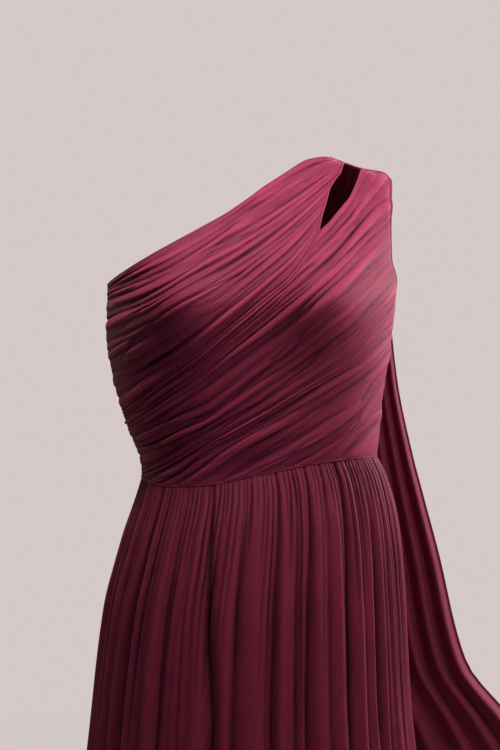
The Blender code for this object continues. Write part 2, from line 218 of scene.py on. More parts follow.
TORSO = table(
    "height half_width front back mid_x mid_y",
    [
        (-0.040, 0.1405, 0.098, 0.091, 0.0080, 0.000),
        (0.000, 0.1405, 0.099, 0.092, 0.0080, 0.000),
        (0.050, 0.1510, 0.107, 0.097, 0.0015, 0.000),
        (0.100, 0.1610, 0.116, 0.103, -0.0035, 0.000),
        (0.150, 0.1695, 0.125, 0.109, -0.0040, 0.000),
        (0.190, 0.1715, 0.129, 0.114, -0.0015, 0.000),
        (0.235, 0.1730, 0.117, 0.119, 0.0000, 0.000),
        (0.280, 0.1805, 0.092, 0.117, 0.0000, 0.004),
        (0.312, 0.1850, 0.070, 0.100, 0.0000, 0.008),
        (0.334, 0.1750, 0.053, 0.078, 0.0000, 0.011),
        (0.348, 0.1665, 0.043, 0.060, 0.0000, 0.012),
        (0.3545, 0.1575, 0.037, 0.051, 0.0000, 0.012),
        (0.3590, 0.1330, 0.033, 0.045, 0.0000, 0.012),
        (0.3640, 0.1176, 0.030, 0.040, 0.0000, 0.012),
        (0.3744, 0.0900, 0.022, 0.028, 0.0000, 0.012),
        (0.3850, 0.0620, 0.016, 0.020, 0.0000, 0.012),
    ],
)
WAIST_SEAM = table(  # it slants up to the wearer's left; -90 is the right side seam
    "angle front back",
    [
        (-90, -0.0115, -0.0115),
        (-48, -0.0146, -0.0110),
        (-30, -0.0130, -0.0080),
        (-12, -0.0073, -0.0030),
        (0, 0.0008, 0.0010),
        (13, 0.0097, 0.0045),
        (31, 0.0155, 0.0095),
        (47, 0.0173, 0.0130),
        (90, 0.0151, 0.0151),
    ],
)


def smooth_through(places, values, at):
    """A smooth curve through the values that never overshoots them."""
    places = np.asarray(places, float)
    values = np.asarray(values, float)
    slopes = np.diff(values) / np.diff(places)
    tangents = np.zeros(len(values))
    tangents[0], tangents[-1] = slopes[0], slopes[-1]
    for i in range(1, len(values) - 1):
        before, after = slopes[i - 1], slopes[i]
        if before * after > 0:
            tangents[i] = 2 * before * after / (before + after)
    at = np.clip(np.asarray(at, float), places[0], places[-1])
    i = np.clip(np.searchsorted(places, at, side="right") - 1, 0, len(places) - 2)
    step = places[i + 1] - places[i]
    t = (at - places[i]) / step
    ends = values[i] * (1 + 2 * t) * (1 - t) ** 2 + values[i + 1] * t * t * (3 - 2 * t)
    return ends + step * t * (1 - t) * (tangents[i] * (1 - t) - tangents[i + 1] * t)


def column(rows, name, at):
    return smooth_through(rows[rows.dtype.names[0]], rows[name], at)


def across_at(angle):
    """How far across a panel an angle lies: -1 and 1 are its side seams."""
    sine = np.sin(np.radians(angle))
    return np.sign(sine) * np.abs(sine) ** (2 / ROUNDNESS)


def angle_at(across):
    return np.degrees(np.sign(across) * np.arcsin(np.clip(np.abs(across), 0, 1) ** (ROUNDNESS / 2)))


def depth_at(across):
    """The share of a section's depth that is left this far across."""
    return np.clip(1 - np.abs(across) ** ROUNDNESS, 0, 1) ** (1 / ROUNDNESS)


def torso_point(across, height, side):
    """A point of the dressed torso. The side is -1 for the front and 1 for the back."""
    across, height = np.broadcast_arrays(np.asarray(across, float), np.asarray(height, float))
    x = column(TORSO, "mid_x", height) + column(TORSO, "half_width", height) * across
    depth = column(TORSO, "front" if side < 0 else "back", height) * depth_at(across)
    if side < 0:
        for cup in (-CUP_X, CUP_X):
            away = ((x - cup) / CUP_WIDTH) ** 2 + ((height - CUP_Z) / CUP_HEIGHT) ** 2
            depth = depth + CUP_DEPTH * np.exp(-away) * depth_at(across) ** 0.5
    y = column(TORSO, "mid_y", height) + side * (depth + SIDE_GAP / 2)
    return np.stack([x, y, height], axis=-1)


def waist_height(angle, side):
    return column(WAIST_SEAM, "front" if side < 0 else "back", angle)


def outward(points):
    """Unit normals of a grid of points, rows by columns, that face away from the middle of the dress."""
    down, along = np.gradient(points, axis=0), np.gradient(points, axis=1)
    normals = np.cross(down, along)
    normals /= np.linalg.norm(normals, axis=-1, keepdims=True) + 1e-12
    away = points * (1, 1, 0) - (0.01, 0, 0)
    flip = np.sign((normals * away).sum(axis=-1).mean())
    return normals * flip


print("Bust depth", round(float(-torso_point(0.5, 0.195, -1)[1]), 3), "m in front of the waist's middle")

# %% [markdown]
# ## How the pleats run
#
# The bodice has 38 pleats, counted from the neckline down. A dozen guide rows say where a pleat starts at the
# wearer's right side or at the waist, where it ends at the left side or at the shoulder, and how it bows in
# between. Every other pleat is interpolated, so the cloth has two coordinates of its own: the number of the
# pleat, and the angle round the body. All creases below are placed by those two numbers.

# %% Guide rows of the pleats
PLEATS = 38
SLIT_PLEAT = 14  # the slit opens below this pleat
SLIT_ANGLE = 20.7  # where the slit's lower tip lies
PLEAT_DEPTH = 0.0026
PLEAT_LEAN = 0.18
DEEPEST = 0.0030  # no crease goes further than this from the form
BAND_DEPTH = 0.012
BAND_TOP, BAND_FOOT = 0.3730, 0.3542
SHOULDER_GAP = 0.0004

BOWS = (20, 40, 60, 80, 90)  # per cent of the way along
FOLDS = table(
    "pleat start_angle start_height end_angle end_height bow_20 bow_40 bow_60 bow_80 bow_90 cut_angle",
    [
        (0.0, -90, 0.2165, 90.0, 0.3725, 0.0059, 0.0146, 0.0341, 0.0243, 0.0136, 90.0),
        (4.0, -90, 0.1990, 90.0, 0.3660, -0.0116, -0.0027, 0.0217, 0.0222, 0.0132, 90.0),
        (6.0, -90, 0.1750, 90.0, 0.3645, -0.0118, -0.0070, 0.0150, 0.0215, 0.0135, 36.0),
        (9.0, -90, 0.1370, 90.0, 0.3630, -0.0110, -0.0125, 0.0000, 0.0190, 0.0150, 24.3),
        (14.0, -90, 0.0700, 90.0, 0.3592, -0.0173, -0.0266, -0.0264, 0.0190, 0.0202, 20.7),
        (16.5, -90, 0.0620, 90.0, 0.3540, -0.0197, -0.0325, -0.0316, -0.0100, 0.0100, 20.7),
        (18.0, -90, 0.0560, 61.0, 0.3175, -0.0180, -0.0296, -0.0295, -0.0160, -0.0070, 20.7),
        (20.0, -90, 0.0480, 60.0, 0.2976, -0.0178, -0.0296, -0.0313, -0.0237, -0.0130, 20.7),
        (23.0, -90, 0.0300, 66.4, 0.2451, -0.0188, -0.0345, -0.0323, -0.0192, -0.0105, 20.7),
        (26.5, -90, 0.0010, 90.0, 0.2050, -0.0130, -0.0224, -0.0308, -0.0266, -0.0136, 20.7),
        (27.5, -90, -0.0115, 90.0, 0.1930, -0.0100, -0.0200, -0.0270, -0.0245, -0.0130, 20.7),
        (31.0, -40, -0.0095, 90.0, 0.1520, 0.0000, -0.0058, -0.0108, -0.0116, -0.0080, 20.7),
        (34.5, 2, 0.0031, 90.0, 0.1030, -0.0079, -0.0142, -0.0181, -0.0156, -0.0100, 20.7),
        (36.6, 31, 0.0166, 90.0, 0.0660, 0.0010, 0.0020, 0.0020, 0.0010, 0.0000, 20.7),
        (38.0, 48, 0.0172, 90.0, 0.0151, 0.0000, 0.0000, 0.0000, 0.0000, 0.0000, 20.7),
    ],
)


def fold_row(pleat, steps, side, cut_steps=None):
    """Angles and heights along one diagonal fold, from the right side or the waist to the left or the shoulder."""
    start = float(np.interp(pleat, FOLDS["pleat"], FOLDS["start_angle"]))
    end = float(column(FOLDS, "end_angle", pleat))
    cut = float(column(FOLDS, "cut_angle", pleat))
    if cut_steps is None:
        angles = np.linspace(start, end, steps + 1)
    elif steps == 0:
        angles = np.linspace(start, min(cut, end), cut_steps + 1)
    else:
        turn = start + (end - start) * (SLIT_ANGLE + 90) / 180
        past = np.linspace(0, 1, steps + 1)[1:] ** 1.4
        angles = np.concatenate([np.linspace(start, turn, cut_steps + 1), turn + (end - turn) * past])
    start_height = float(np.interp(pleat, FOLDS["pleat"], FOLDS["start_height"]))
    if start > -90:
        start_height = float(waist_height(start, side))
    end_height = float(column(FOLDS, "end_height", pleat))
    across = across_at(angles)
    first, last = across_at(start), across_at(end)
    along = (across - first) / (last - first)
    bows = [0.0] + [float(column(FOLDS, f"bow_{share}", pleat)) for share in BOWS] + [0.0]
    height = start_height + (end_height - start_height) * along
    height = height + smooth_through([0, *(share / 100 for share in BOWS), 1], bows, along)
    return angles, np.maximum(height, waist_height(angles, side))


def across_behind(height, depth):
    """How far across the back a point lies that is this far behind the shoulder's ridge."""
    left = np.clip(depth / column(TORSO, "back", height), 0, 1)
    return (1 - left**ROUNDNESS) ** (1 / ROUNDNESS)


def back_row(pleat, steps):
    """A fold of the back, which ends at the yoke band where the front's ends at the shoulder."""
    angles, height = fold_row(pleat, steps, 1)
    if height[-1] > BAND_FOOT - 0.008:
        stop = across_behind(height[-1], BAND_DEPTH + SHOULDER_GAP)
        nearer = np.linspace(-90, angle_at(stop), steps + 1)
        height = smooth_through(across_at(angles), height, across_at(nearer))
        angles = nearer
    return angles, height


print("A pleat in the middle of the bust climbs", round(float(np.ptp(fold_row(16, 20, -1)[1])), 3), "m")

# %% [markdown]
# ## Pleats and creases
#
# A pleat that has been steamed flat is a soft ridge that ends in a sharp little valley. The absolute value of
# a sine has that shape: round on top and pointed below. Real pleats also swell and fade along their length,
# and between them lie fine creases that start and stop where they like. Each crease is a soft trough with a
# faint lip on both sides. The main ones are listed one by one, and the rest come from a random generator with a
# fixed seed, so they are the same in every run.

# %% Pleats and creases as heights above the form
def unevenness(index, seed):
    """A repeatable value near 1 for each fold, so that no two neighbours match."""
    return 1 + 0.32 * np.sin(2.1 * index + seed) + 0.2 * np.sin(5.3 * index + 2 * seed)


def pleat_place(row, first, last, seed):
    """Where a valley or a ridge lies, counted in pleats, with uneven widths between first and last."""
    place = first + row / 2
    swell = math.sin(math.pi * (place - first) / (last - first))
    place += swell * (0.2 * math.sin(1.7 * place + seed) + 0.14 * math.sin(0.9 * place + 2 + seed))
    if row % 2:
        place += PLEAT_LEAN * min(1, swell * 4)
    return min(place, last)


def along_wander(index, angle, seed):
    """How a pleat's depth swells and fades along it."""
    slow = np.sin(0.042 * angle + 2.7 * index + seed)
    quick = np.sin(0.098 * angle + 4.3 * index + 1.7 * seed)
    return np.clip(0.75 + 0.75 * slow + 0.5 * quick, 0.02, 2.1)


def pleat_heights(places, angles, parts, seed, smooth_places=()):
    """The main pleats' heights over rows at these places, at the rows' angles."""
    phase = np.zeros(len(places))
    for first, last in parts:
        rows = np.arange(2 * (last - first) + 1)
        found = np.maximum.accumulate([pleat_place(row, first, last, seed) for row in rows])
        inside = (places >= first) & (places <= last)
        phase[inside] = 2 * first + np.interp(places[inside], found + rows * 1e-9, rows)
    rise = np.abs(np.sin(np.pi * phase / 2))[:, None] ** 0.8
    valley = np.round(phase / 2)[:, None]
    ridge = np.floor(phase / 2)[:, None]
    low = unevenness(valley, seed) * along_wander(valley + 40, angles, seed)
    high = unevenness(ridge, seed) * along_wander(ridge, angles, seed)
    kept = np.ones(angles.shape)
    for place, angle, by_place, by_angle in smooth_places:
        kept *= 1 - 0.8 * np.exp(-(((places[:, None] - place) / by_place) ** 4) - ((angles - angle) / by_angle) ** 4)
    return kept * PLEAT_DEPTH / 2 * (high * rise - low * (1 - rise))


def crease_heights(places, angles, creases):
    """Fine creases: each row has its pleats at both ends, its angles at both ends, depth and half width."""
    heights = np.zeros(angles.shape)
    for start, end, angle_1, angle_2, depth, width in creases:
        share = (angles - angle_1) / (angle_2 - angle_1)
        line = start + (end - start) * share + 0.12 * np.sin(5 * share + start)
        away = (places[:, None] - line) / width
        near = np.abs(away) < 6
        fade = np.clip(share * 5, 0, 1) * np.clip((1 - share) * 5, 0, 1)
        fade = fade * fade * (3 - 2 * fade)
        trough = np.exp(-np.abs(away) ** 1.3) - 0.35 * np.exp(-((away / 2.3) ** 2))
        heights -= np.where(near, depth * fade * trough, 0)
    return heights


def scattered_creases(count, seed, deepest):
    """Creases between the main ones, with their depth in metres and their width in pleats."""
    dice = np.random.default_rng(seed)
    made = []
    for _ in range(count):
        start = dice.uniform(0.4, PLEATS - 0.3)
        reach = dice.uniform(18, 75)
        middle = dice.uniform(-85, 85)
        drift = np.clip(dice.normal(0, 0.6), -1.2, 1.2) * reach / 50
        depth = deepest * dice.uniform(0.25, 1) ** 1.5
        width = dice.uniform(0.07, 0.20)
        made.append((start, start + drift, middle - reach / 2, middle + reach / 2, depth, width))
    return made


print("A scattered crease, as an example:", *(round(float(v), 4) for v in scattered_creases(1, 3, 0.001)[0]))

# %% [markdown]
# ## From a grid of points to a sheet of cloth
#
# Each panel is one open grid. It gets a UV map in metres of cloth, so that a weave keeps its size and follows
# the folds, and an attribute that stores how high each point stands on its fold. The finishes read it to paint
# shade into the valleys and light onto the ridges, a painted shade and highlight. Solidify then gives the sheet the
# thickness of the cloth.

# %% Sheets of cloth
CLOTH_THICKNESS = 0.0006


def grid_quads(rows, columns, start=0):
    """Quads between neighbouring points of a grid that is stored row by row."""
    corner = start + np.arange(rows - 1)[:, None] * columns + np.arange(columns - 1)
    corner = corner.ravel()
    return np.stack([corner, corner + 1, corner + columns + 1, corner + columns], axis=1)


def cloth_lengths(points):
    """How far along its row each point of a grid lies, in metres from the row's start."""
    steps = np.linalg.norm(np.diff(points, axis=1), axis=-1)
    lengths = np.concatenate([np.zeros((len(points), 1)), np.cumsum(steps, axis=1)], axis=1)
    return lengths


def cloth_sheet(name, points, quads, cloth_map, fold_shade_mask):
    """An object at the origin from points given from the middle of the waist."""
    mesh = bpy.data.meshes.new(name)
    mesh.from_pydata((points - HELD).tolist(), [], quads.tolist())
    middle_out = 0.0
    for i in range(0, len(mesh.polygons), max(1, len(mesh.polygons) // 400)):
        polygon = mesh.polygons[i]
        centre = np.array(polygon.center) + HELD
        middle_out += float(np.dot(polygon.normal, centre * (1, 1, 0) - (0.01, 0, 0)))
    if middle_out < 0:
        mesh.flip_normals()
    corners = np.zeros(len(mesh.loops), int)
    mesh.loops.foreach_get("vertex_index", corners)
    layer = mesh.uv_layers.new(name="cloth")
    layer.data.foreach_set("uv", cloth_map[corners].astype(np.float32).ravel())
    # The mask for the painted shade in the valleys and the painted highlight on the ridges.
    stored = mesh.attributes.new("fold_shade_mask", "FLOAT", "POINT")
    stored.data.foreach_set("value", fold_shade_mask.astype(np.float32))
    mesh.shade_smooth()
    mesh.update()
    made = bpy.data.objects.new(name, mesh)
    bpy.context.scene.collection.objects.link(made)
    wall = made.modifiers.new("thickness", "SOLIDIFY")
    wall.thickness = CLOTH_THICKNESS
    wall.offset = 0
    print(f"{name}: {len(mesh.polygons)} quads")
    return made


# %% [markdown]
# ## Chiffon
#
# Chiffon is a thin, slightly crinkled weave: fine threads and a crinkle that runs with the folds. The group below
# makes both from the cloth's own map. From the stored fold mask it also paints shade into the valleys and creases
# and light onto the ridges, a painted shade and painted highlight. Each material sets how strong they are. The soft
# bloom at the edges of a fold is the shader's sheen, which stays in the material with its constant values.

# %% The chiffon group
def chiffon_group():
    tree = bpy.data.node_groups.new("chiffon", "ShaderNodeTree")
    face = tree.interface
    # The two colours are the ends of one blend: the cloth with painted highlight on its ridges and with painted
    # shade in its valleys, with grain and blotches between.
    for name, kind, value in (
        ("Lit ridges and pale grain", "NodeSocketColor", (0.2, 0.02, 0.05, 1)),
        ("Shaded valleys and dark grain", "NodeSocketColor", (0.05, 0.005, 0.015, 1)),
        ("Thread count", "NodeSocketFloat", 1400.0),
        ("Crinkle size", "NodeSocketFloat", 260.0),
        ("Blotches", "NodeSocketFloat", 0.2),
        ("Fold shade strength", "NodeSocketFloat", 1.0),
    ):
        socket = face.new_socket(name=name, in_out="INPUT", socket_type=kind)
        socket.default_value = value
    face.new_socket(name="Color", in_out="OUTPUT", socket_type="NodeSocketColor")
    face.new_socket(name="Height", in_out="OUTPUT", socket_type="NodeSocketFloat")
    face.new_socket(name="Roughness", in_out="OUTPUT", socket_type="NodeSocketFloat")
    nodes, links = tree.nodes, tree.links
    given = nodes.new("NodeGroupInput")
    result = nodes.new("NodeGroupOutput")

    cloth_map = nodes.new("ShaderNodeUVMap")
    cloth_map.uv_map = "cloth"
    stretch = nodes.new("ShaderNodeVectorMath")
    stretch.operation = "MULTIPLY"
    stretch.inputs[1].default_value = (1.0, 0.16, 1.0)
    links.new(cloth_map.outputs["UV"], stretch.inputs[0])

    crinkle = nodes.new("ShaderNodeTexNoise")
    crinkle.inputs["Detail"].default_value = 3
    crinkle.inputs["Roughness"].default_value = 0.55
    links.new(stretch.outputs["Vector"], crinkle.inputs["Vector"])
    links.new(given.outputs["Crinkle size"], crinkle.inputs["Scale"])

    blotch = nodes.new("ShaderNodeTexNoise")
    blotch.inputs["Scale"].default_value = 22
    blotch.inputs["Detail"].default_value = 2
    links.new(cloth_map.outputs["UV"], blotch.inputs["Vector"])

    def wave(direction):
        made = nodes.new("ShaderNodeTexWave")
        made.bands_direction = direction
        made.inputs["Distortion"].default_value = 0.6
        made.inputs["Detail"].default_value = 1
        links.new(cloth_map.outputs["UV"], made.inputs["Vector"])
        links.new(given.outputs["Thread count"], made.inputs["Scale"])
        return made

    def maths(operation, first, second):
        made = nodes.new("ShaderNodeMath")
        made.operation = operation
        for socket, value in zip(made.inputs, (first, second)):
            if isinstance(value, (int, float)):
                socket.default_value = value
            else:
                links.new(value, socket)
        return made.outputs["Value"]

    threads = maths("MULTIPLY", wave("X").outputs["Fac"], wave("Y").outputs["Fac"])
    height = maths("ADD", maths("MULTIPLY", threads, 0.25), crinkle.outputs["Fac"])

    # Painted shade and highlight: the stored fold mask darkens the cloth in the valleys and lightens it on the
    # ridges.
    stored = nodes.new("ShaderNodeAttribute")
    stored.attribute_name = "fold_shade_mask"
    painted_shade = maths("MULTIPLY", stored.outputs["Fac"], given.outputs["Fold shade strength"])
    lift = maths("ADD", 0.62, painted_shade)
    grain = maths("MULTIPLY", maths("SUBTRACT", crinkle.outputs["Fac"], 0.5), 0.55)
    patch = maths("MULTIPLY", maths("SUBTRACT", blotch.outputs["Fac"], 0.5), given.outputs["Blotches"])
    share = maths("ADD", maths("ADD", lift, grain), patch)
    clear = nodes.new("ShaderNodeClamp")
    links.new(share, clear.inputs["Value"])
    mixed = nodes.new("ShaderNodeMix")
    mixed.data_type = "RGBA"
    links.new(clear.outputs["Result"], mixed.inputs["Factor"])
    links.new(given.outputs["Shaded valleys and dark grain"], mixed.inputs["A"])
    links.new(given.outputs["Lit ridges and pale grain"], mixed.inputs["B"])
    links.new(mixed.outputs["Result"], result.inputs["Color"])
    links.new(height, result.inputs["Height"])
    rough = maths("ADD", 0.55, maths("MULTIPLY", crinkle.outputs["Fac"], 0.2))
    links.new(rough, result.inputs["Roughness"])
    return tree


CHIFFON = chiffon_group()
print("The chiffon group has", len(CHIFFON.nodes), "nodes")


# %% Materials of the dress
def chiffon(name, light, dark, crinkle_size=260, blotches=0.25, fold_shade_strength=0.5, bump=0.3, sheen=0.10):
    made = bpy.data.materials.new(name)
    made.use_nodes = True
    tree = made.node_tree
    shader = tree.nodes["Principled BSDF"]
    group = tree.nodes.new("ShaderNodeGroup")
    group.node_tree = CHIFFON
    group.inputs["Lit ridges and pale grain"].default_value = (*light, 1)
    group.inputs["Shaded valleys and dark grain"].default_value = (*dark, 1)
    group.inputs["Crinkle size"].default_value = crinkle_size
    group.inputs["Blotches"].default_value = blotches
    group.inputs["Fold shade strength"].default_value = fold_shade_strength
    relief = tree.nodes.new("ShaderNodeBump")
    relief.inputs["Strength"].default_value = bump
    relief.inputs["Distance"].default_value = 0.0006
    tree.links.new(group.outputs["Color"], shader.inputs["Base Color"])
    tree.links.new(group.outputs["Roughness"], shader.inputs["Roughness"])
    tree.links.new(group.outputs["Height"], relief.inputs["Height"])
    tree.links.new(relief.outputs["Normal"], shader.inputs["Normal"])
    shader.inputs["Specular IOR Level"].default_value = 0.12
    shader.inputs["Sheen Weight"].default_value = sheen
    shader.inputs["Sheen Roughness"].default_value = 0.45
    shader.inputs["Sheen Tint"].default_value = (1.0, 0.40, 0.52, 1)
    return made


# Each material's light and dark colours are its cloth with painted highlight on the ridges and with painted shade in
# the valleys, besides its grain.
bodice_chiffon = chiffon("bodice_chiffon", (0.32, 0.033, 0.090), (0.045, 0.004, 0.012), fold_shade_strength=0.68, sheen=0.08)
band_chiffon = chiffon("band_chiffon", (0.30, 0.035, 0.090), (0.12, 0.010, 0.030))
skirt_chiffon = chiffon("skirt_chiffon", (0.182, 0.015, 0.045), (0.022, 0.002, 0.006), fold_shade_strength=0.75, sheen=0.05)
cape_chiffon = chiffon("cape_chiffon", (0.235, 0.026, 0.064), (0.080, 0.008, 0.022), fold_shade_strength=0.4)

# %% [markdown]
# ## The front of the bodice
#
# The front is cut by the slit, so it is two grids that share one row up to the slit's tip: the part that goes
# over the shoulder inside the slit, and the rest with the outer strap. The rows follow the pleats, ten to
# each, which is enough for a sharp valley. Along a pleat the cloth hardly changes, so the points there can
# be further apart.

# %% Front bodice
ROWS_PER_PLEAT = 14
TO_SLIT_STEPS = 60
PAST_SLIT_STEPS = 34


STRAP_PLEATS = 21  # the pleats above this one run into the strap


def eased_rows(places, rows_of, side, ease_from, ease_to):
    """A grid of rows at these places, in which they run straight where the strap narrows. Its edges stay."""
    whole = np.unique(np.concatenate([np.arange(places[0], places[-1] + 0.5), places[[0, -1]]]))
    rows = [rows_of(place) for place in whole]
    angles = np.array([row[0] for row in rows])
    points = torso_point(across_at(angles), np.array([row[1] for row in rows]), side)
    x, z = points[..., 0], points[..., 2]
    share = np.linspace(0, 1, x.shape[1])
    ease = np.clip((share - ease_from) / (ease_to - ease_from), 0, 1)[None, 1:-1] ** 3
    ease = ease * np.clip((STRAP_PLEATS - whole) / 4, 0, 1)[1:-1, None]
    for _ in range(900):
        for values in (x, z):
            beside = values[:-2, 1:-1] + values[2:, 1:-1] + values[1:-1, :-2] + values[1:-1, 2:]
            values[1:-1, 1:-1] += ease * (beside / 4 - values[1:-1, 1:-1])
    fine = np.empty((3, len(places), x.shape[1]))
    for j in range(x.shape[1]):
        for k, values in enumerate((x, z, angles)):
            fine[k, :, j] = smooth_through(whole, values[:, j], places)
    across = (fine[0] - column(TORSO, "mid_x", fine[1])) / column(TORSO, "half_width", fine[1])
    across = np.where(np.abs(fine[2]) > 89.9, np.sign(fine[2]), np.clip(across, -1, 1))
    return torso_point(across, fine[1], side), fine[2]


def bodice_sheet(places, base, angles, seed, creases, parts, smooth_places=()):
    """Points, fold heights and the cloth's own map for rows of the bodice at these places."""
    ends = np.linspace(0, 1, angles.shape[1])
    left_least = np.where(places < STRAP_PLEATS, 0.25, 0.0)[:, None]
    sewn = 0.12 + 0.88 * np.clip(ends * 9, 0, 1)
    sewn = sewn * (left_least + (1 - left_least) * np.clip((1 - ends) * 9, 0, 1))
    edges = np.minimum(1, np.minimum(0.3 + places / 2, 0.15 + (PLEATS - places) / 2))
    lift = pleat_heights(places, angles, parts, seed, smooth_places) * sewn * edges[:, None]
    lift += crease_heights(places, angles, creases) * np.minimum(1, edges[:, None] * 1.5) * sewn
    lift = DEEPEST * np.tanh(lift / DEEPEST)
    points = base + outward(base) * lift[..., None]
    lengths = cloth_lengths(base)
    width = np.broadcast_to(places[:, None] * 0.0078, lengths.shape)
    cloth_map = np.stack([width, lengths], axis=-1)
    # The second value is the mask of painted shade and highlight: the finish darkens the pleats' valleys and creases
    # by it and lightens their ridges.
    return points, lift / PLEAT_DEPTH, cloth_map


SLIT_EDGE = (  # x and height of the slit's outer edge, from above its tip to below the band
    (0.0820, 0.2815),
    (0.0886, 0.2879),
    (0.1002, 0.3020),
    (0.1074, 0.3106),
    (0.1125, 0.3167),
    (0.1171, 0.3246),
    (0.1221, 0.3351),
    (0.1258, 0.3437),
    (0.1284, 0.3510),
)


NECK_EDGE = (  # x and height of the neckline from the middle of the dress to the shoulder
    (0.0111, 0.3298),
    (0.0217, 0.3374),
    (0.0324, 0.3448),
    (0.0424, 0.3520),
    (0.0524, 0.3594),
    (0.0595, 0.3640),
    (0.0666, 0.3676),
    (0.0737, 0.3696),
    (0.0808, 0.3712),
    (0.0871, 0.3721),
)
NECK_START = 30  # the neckline's point in the middle of the dress


def along_edge(angles, heights, kept, edge, power):
    """A row that keeps its first points and then follows an edge, given by x and height."""
    ends = torso_point(across_at(angles[[kept, -1]]), heights[[kept, -1]], -1)[:, [0, 2]]
    edge = np.array([ends[0], *edge, ends[1]])
    along = np.concatenate([[0], np.cumsum(np.linalg.norm(np.diff(edge, axis=0), axis=1))])
    at = along[-1] * np.linspace(0, 1, len(angles) - kept) ** power
    x, z = smooth_through(along, edge[:, 0], at), smooth_through(along, edge[:, 1], at)
    across = (x - column(TORSO, "mid_x", z)) / column(TORSO, "half_width", z)
    return np.concatenate([angles[:kept], angle_at(across)]), np.concatenate([heights[:kept], z])


def upper_row(place):
    """A row above the slit. The first one is the neckline."""
    angles, heights = fold_row(place, 0, -1, TO_SLIT_STEPS)
    if place > 0:
        return angles, heights
    return along_edge(angles, heights, NECK_START, NECK_EDGE, 1.0)


def lower_row(place):
    """A row below the slit. The first one follows the slit's outer edge past its tip."""
    angles, heights = fold_row(place, PAST_SLIT_STEPS, -1, TO_SLIT_STEPS)
    if place > SLIT_PLEAT:
        return angles, heights
    return along_edge(angles, heights, TO_SLIT_STEPS, SLIT_EDGE, 1.2)


FRONT_SEED = 0.4
MAIN_CREASES = (  # pleat and angle at both ends, depth in metres, half width in pleats
    (0.6, 2.0, -36, -10, 0.0014, 0.13),
    (1.5, 1.9, -12, 9, 0.0013, 0.12),
    (1.2, 0.5, -64, -45, 0.0012, 0.16),
    (2.9, 1.6, -62, -40, 0.0013, 0.18),
    (4.3, 2.8, -56, -36, 0.0014, 0.16),
    (2.6, 4.1, -37, -9, 0.0016, 0.13),
    (3.9, 4.6, -10, 9, 0.0010, 0.12),
    (4.7, 4.8, 8, 20, 0.0016, 0.15),
    (3.1, 3.0, 2, 13, 0.0010, 0.12),
    (5.9, 6.4, -30, -2, 0.0015, 0.14),
    (5.8, 6.4, -8, 15, 0.0019, 0.16),
    (7.7, 6.3, -57, -37, 0.0015, 0.22),
    (6.3, 6.8, -43, -19, 0.0013, 0.14),
    (8.0, 9.3, -31, -4, 0.0021, 0.17),
    (7.0, 7.9, -9, 13, 0.0019, 0.15),
    (8.6, 9.3, 11, 23, 0.0020, 0.19),
    (8.2, 10.8, -31, -63, 0.0017, 0.24),
    (10.6, 11.4, -24, -8, 0.0008, 0.12),
    (11.6, 12.2, -2, 12, 0.0011, 0.14),
    (13.2, 13.6, -17, -50, 0.0018, 0.22),
    (13.4, 13.0, -8, 8, 0.0012, 0.15),
    (15.2, 14.9, -10, 12, 0.0013, 0.14),
    (16.5, 17.1, 7, 28, 0.0021, 0.20),
    (15.6, 17.0, -40, -14, 0.0014, 0.20),
    (18.2, 18.8, -4, 14, 0.0012, 0.15),
    (18.6, 19.3, -50, -22, 0.0013, 0.20),
    (20.0, 20.6, 19, 9, 0.0020, 0.22),
    (20.8, 21.6, 22, 15, 0.0018, 0.20),
    (22.2, 23.0, 19, 12, 0.0019, 0.22),
    (20.5, 21.0, -68, -44, 0.0017, 0.30),
    (21.4, 22.8, -16, -44, 0.0020, 0.26),
    (22.5, 23.7, 12, -7, 0.0022, 0.20),
    (23.6, 22.8, -5, -24, 0.0019, 0.20),
    (24.2, 24.9, 29, 11, 0.0018, 0.18),
    (24.1, 24.5, 1, -14, 0.0014, 0.16),
    (23.8, 23.1, -31, -16, 0.0015, 0.20),
    (24.8, 26.1, 28, 1, 0.0026, 0.24),
    (26.0, 27.3, 3, -13, 0.0024, 0.22),
    (27.3, 27.0, -11, -34, 0.0016, 0.20),
    (27.3, 27.9, 10, -8, 0.0011, 0.16),
    (25.4, 26.0, -62, -40, 0.0016, 0.28),
    (30.5, 29.2, 49, 19, 0.0015, 0.18),
    (29.3, 28.6, 22, 4, 0.0014, 0.17),
    (30.7, 30.0, 12, -20, 0.0015, 0.17),
    (31.2, 31.0, 31, 11, 0.0011, 0.14),
    (31.8, 31.4, 9, -22, 0.0014, 0.16),
    (31.5, 34.0, 75, 46, 0.0020, 0.22),
    (26.2, 28.7, 77, 51, 0.0018, 0.20),
    (28.5, 30.1, 73, 57, 0.0014, 0.18),
    (34.6, 35.8, 50, 37, 0.0020, 0.20),
    (33.5, 34.3, 25, 5, 0.0015, 0.16),
    (33.2, 33.2, -2, -18, 0.0014, 0.16),
    (35.2, 34.6, 22, 8, 0.0010, 0.14),
    (29.6, 30.2, -56, -28, 0.0015, 0.22),
    (16.4, 17.7, 41, 62, 0.0011, 0.14),
    (18.0, 17.2, 32, 56, 0.0013, 0.14),
    (19.0, 19.6, 30, 50, 0.0012, 0.15),
    (20.7, 19.4, 38, 60, 0.0016, 0.17),
    (22.0, 21.2, 40, 62, 0.0014, 0.16),
    (22.6, 21.6, 52, 70, 0.0015, 0.18),
    (15.2, 15.4, 30, 58, 0.0010, 0.13),
    (14.9, 14.5, 66, 84, 0.0020, 0.16),
    (15.9, 15.4, 70, 86, 0.0020, 0.16),
    (17.0, 16.6, 72, 86, 0.0018, 0.16),
)
SMOOTH_PLACES = (  # pleat, angle and their half widths, where the pleats were pulled flat
    (26.6, 48, 2.6, 17),
    (10.2, -24, 1.5, 17),
    (18.5, -17, 1.6, 9),
    (35.6, 68, 2.0, 14),
    (12.0, -58, 1.6, 12),
)
front_creases = [*MAIN_CREASES, *scattered_creases(440, 17, 0.0015)]
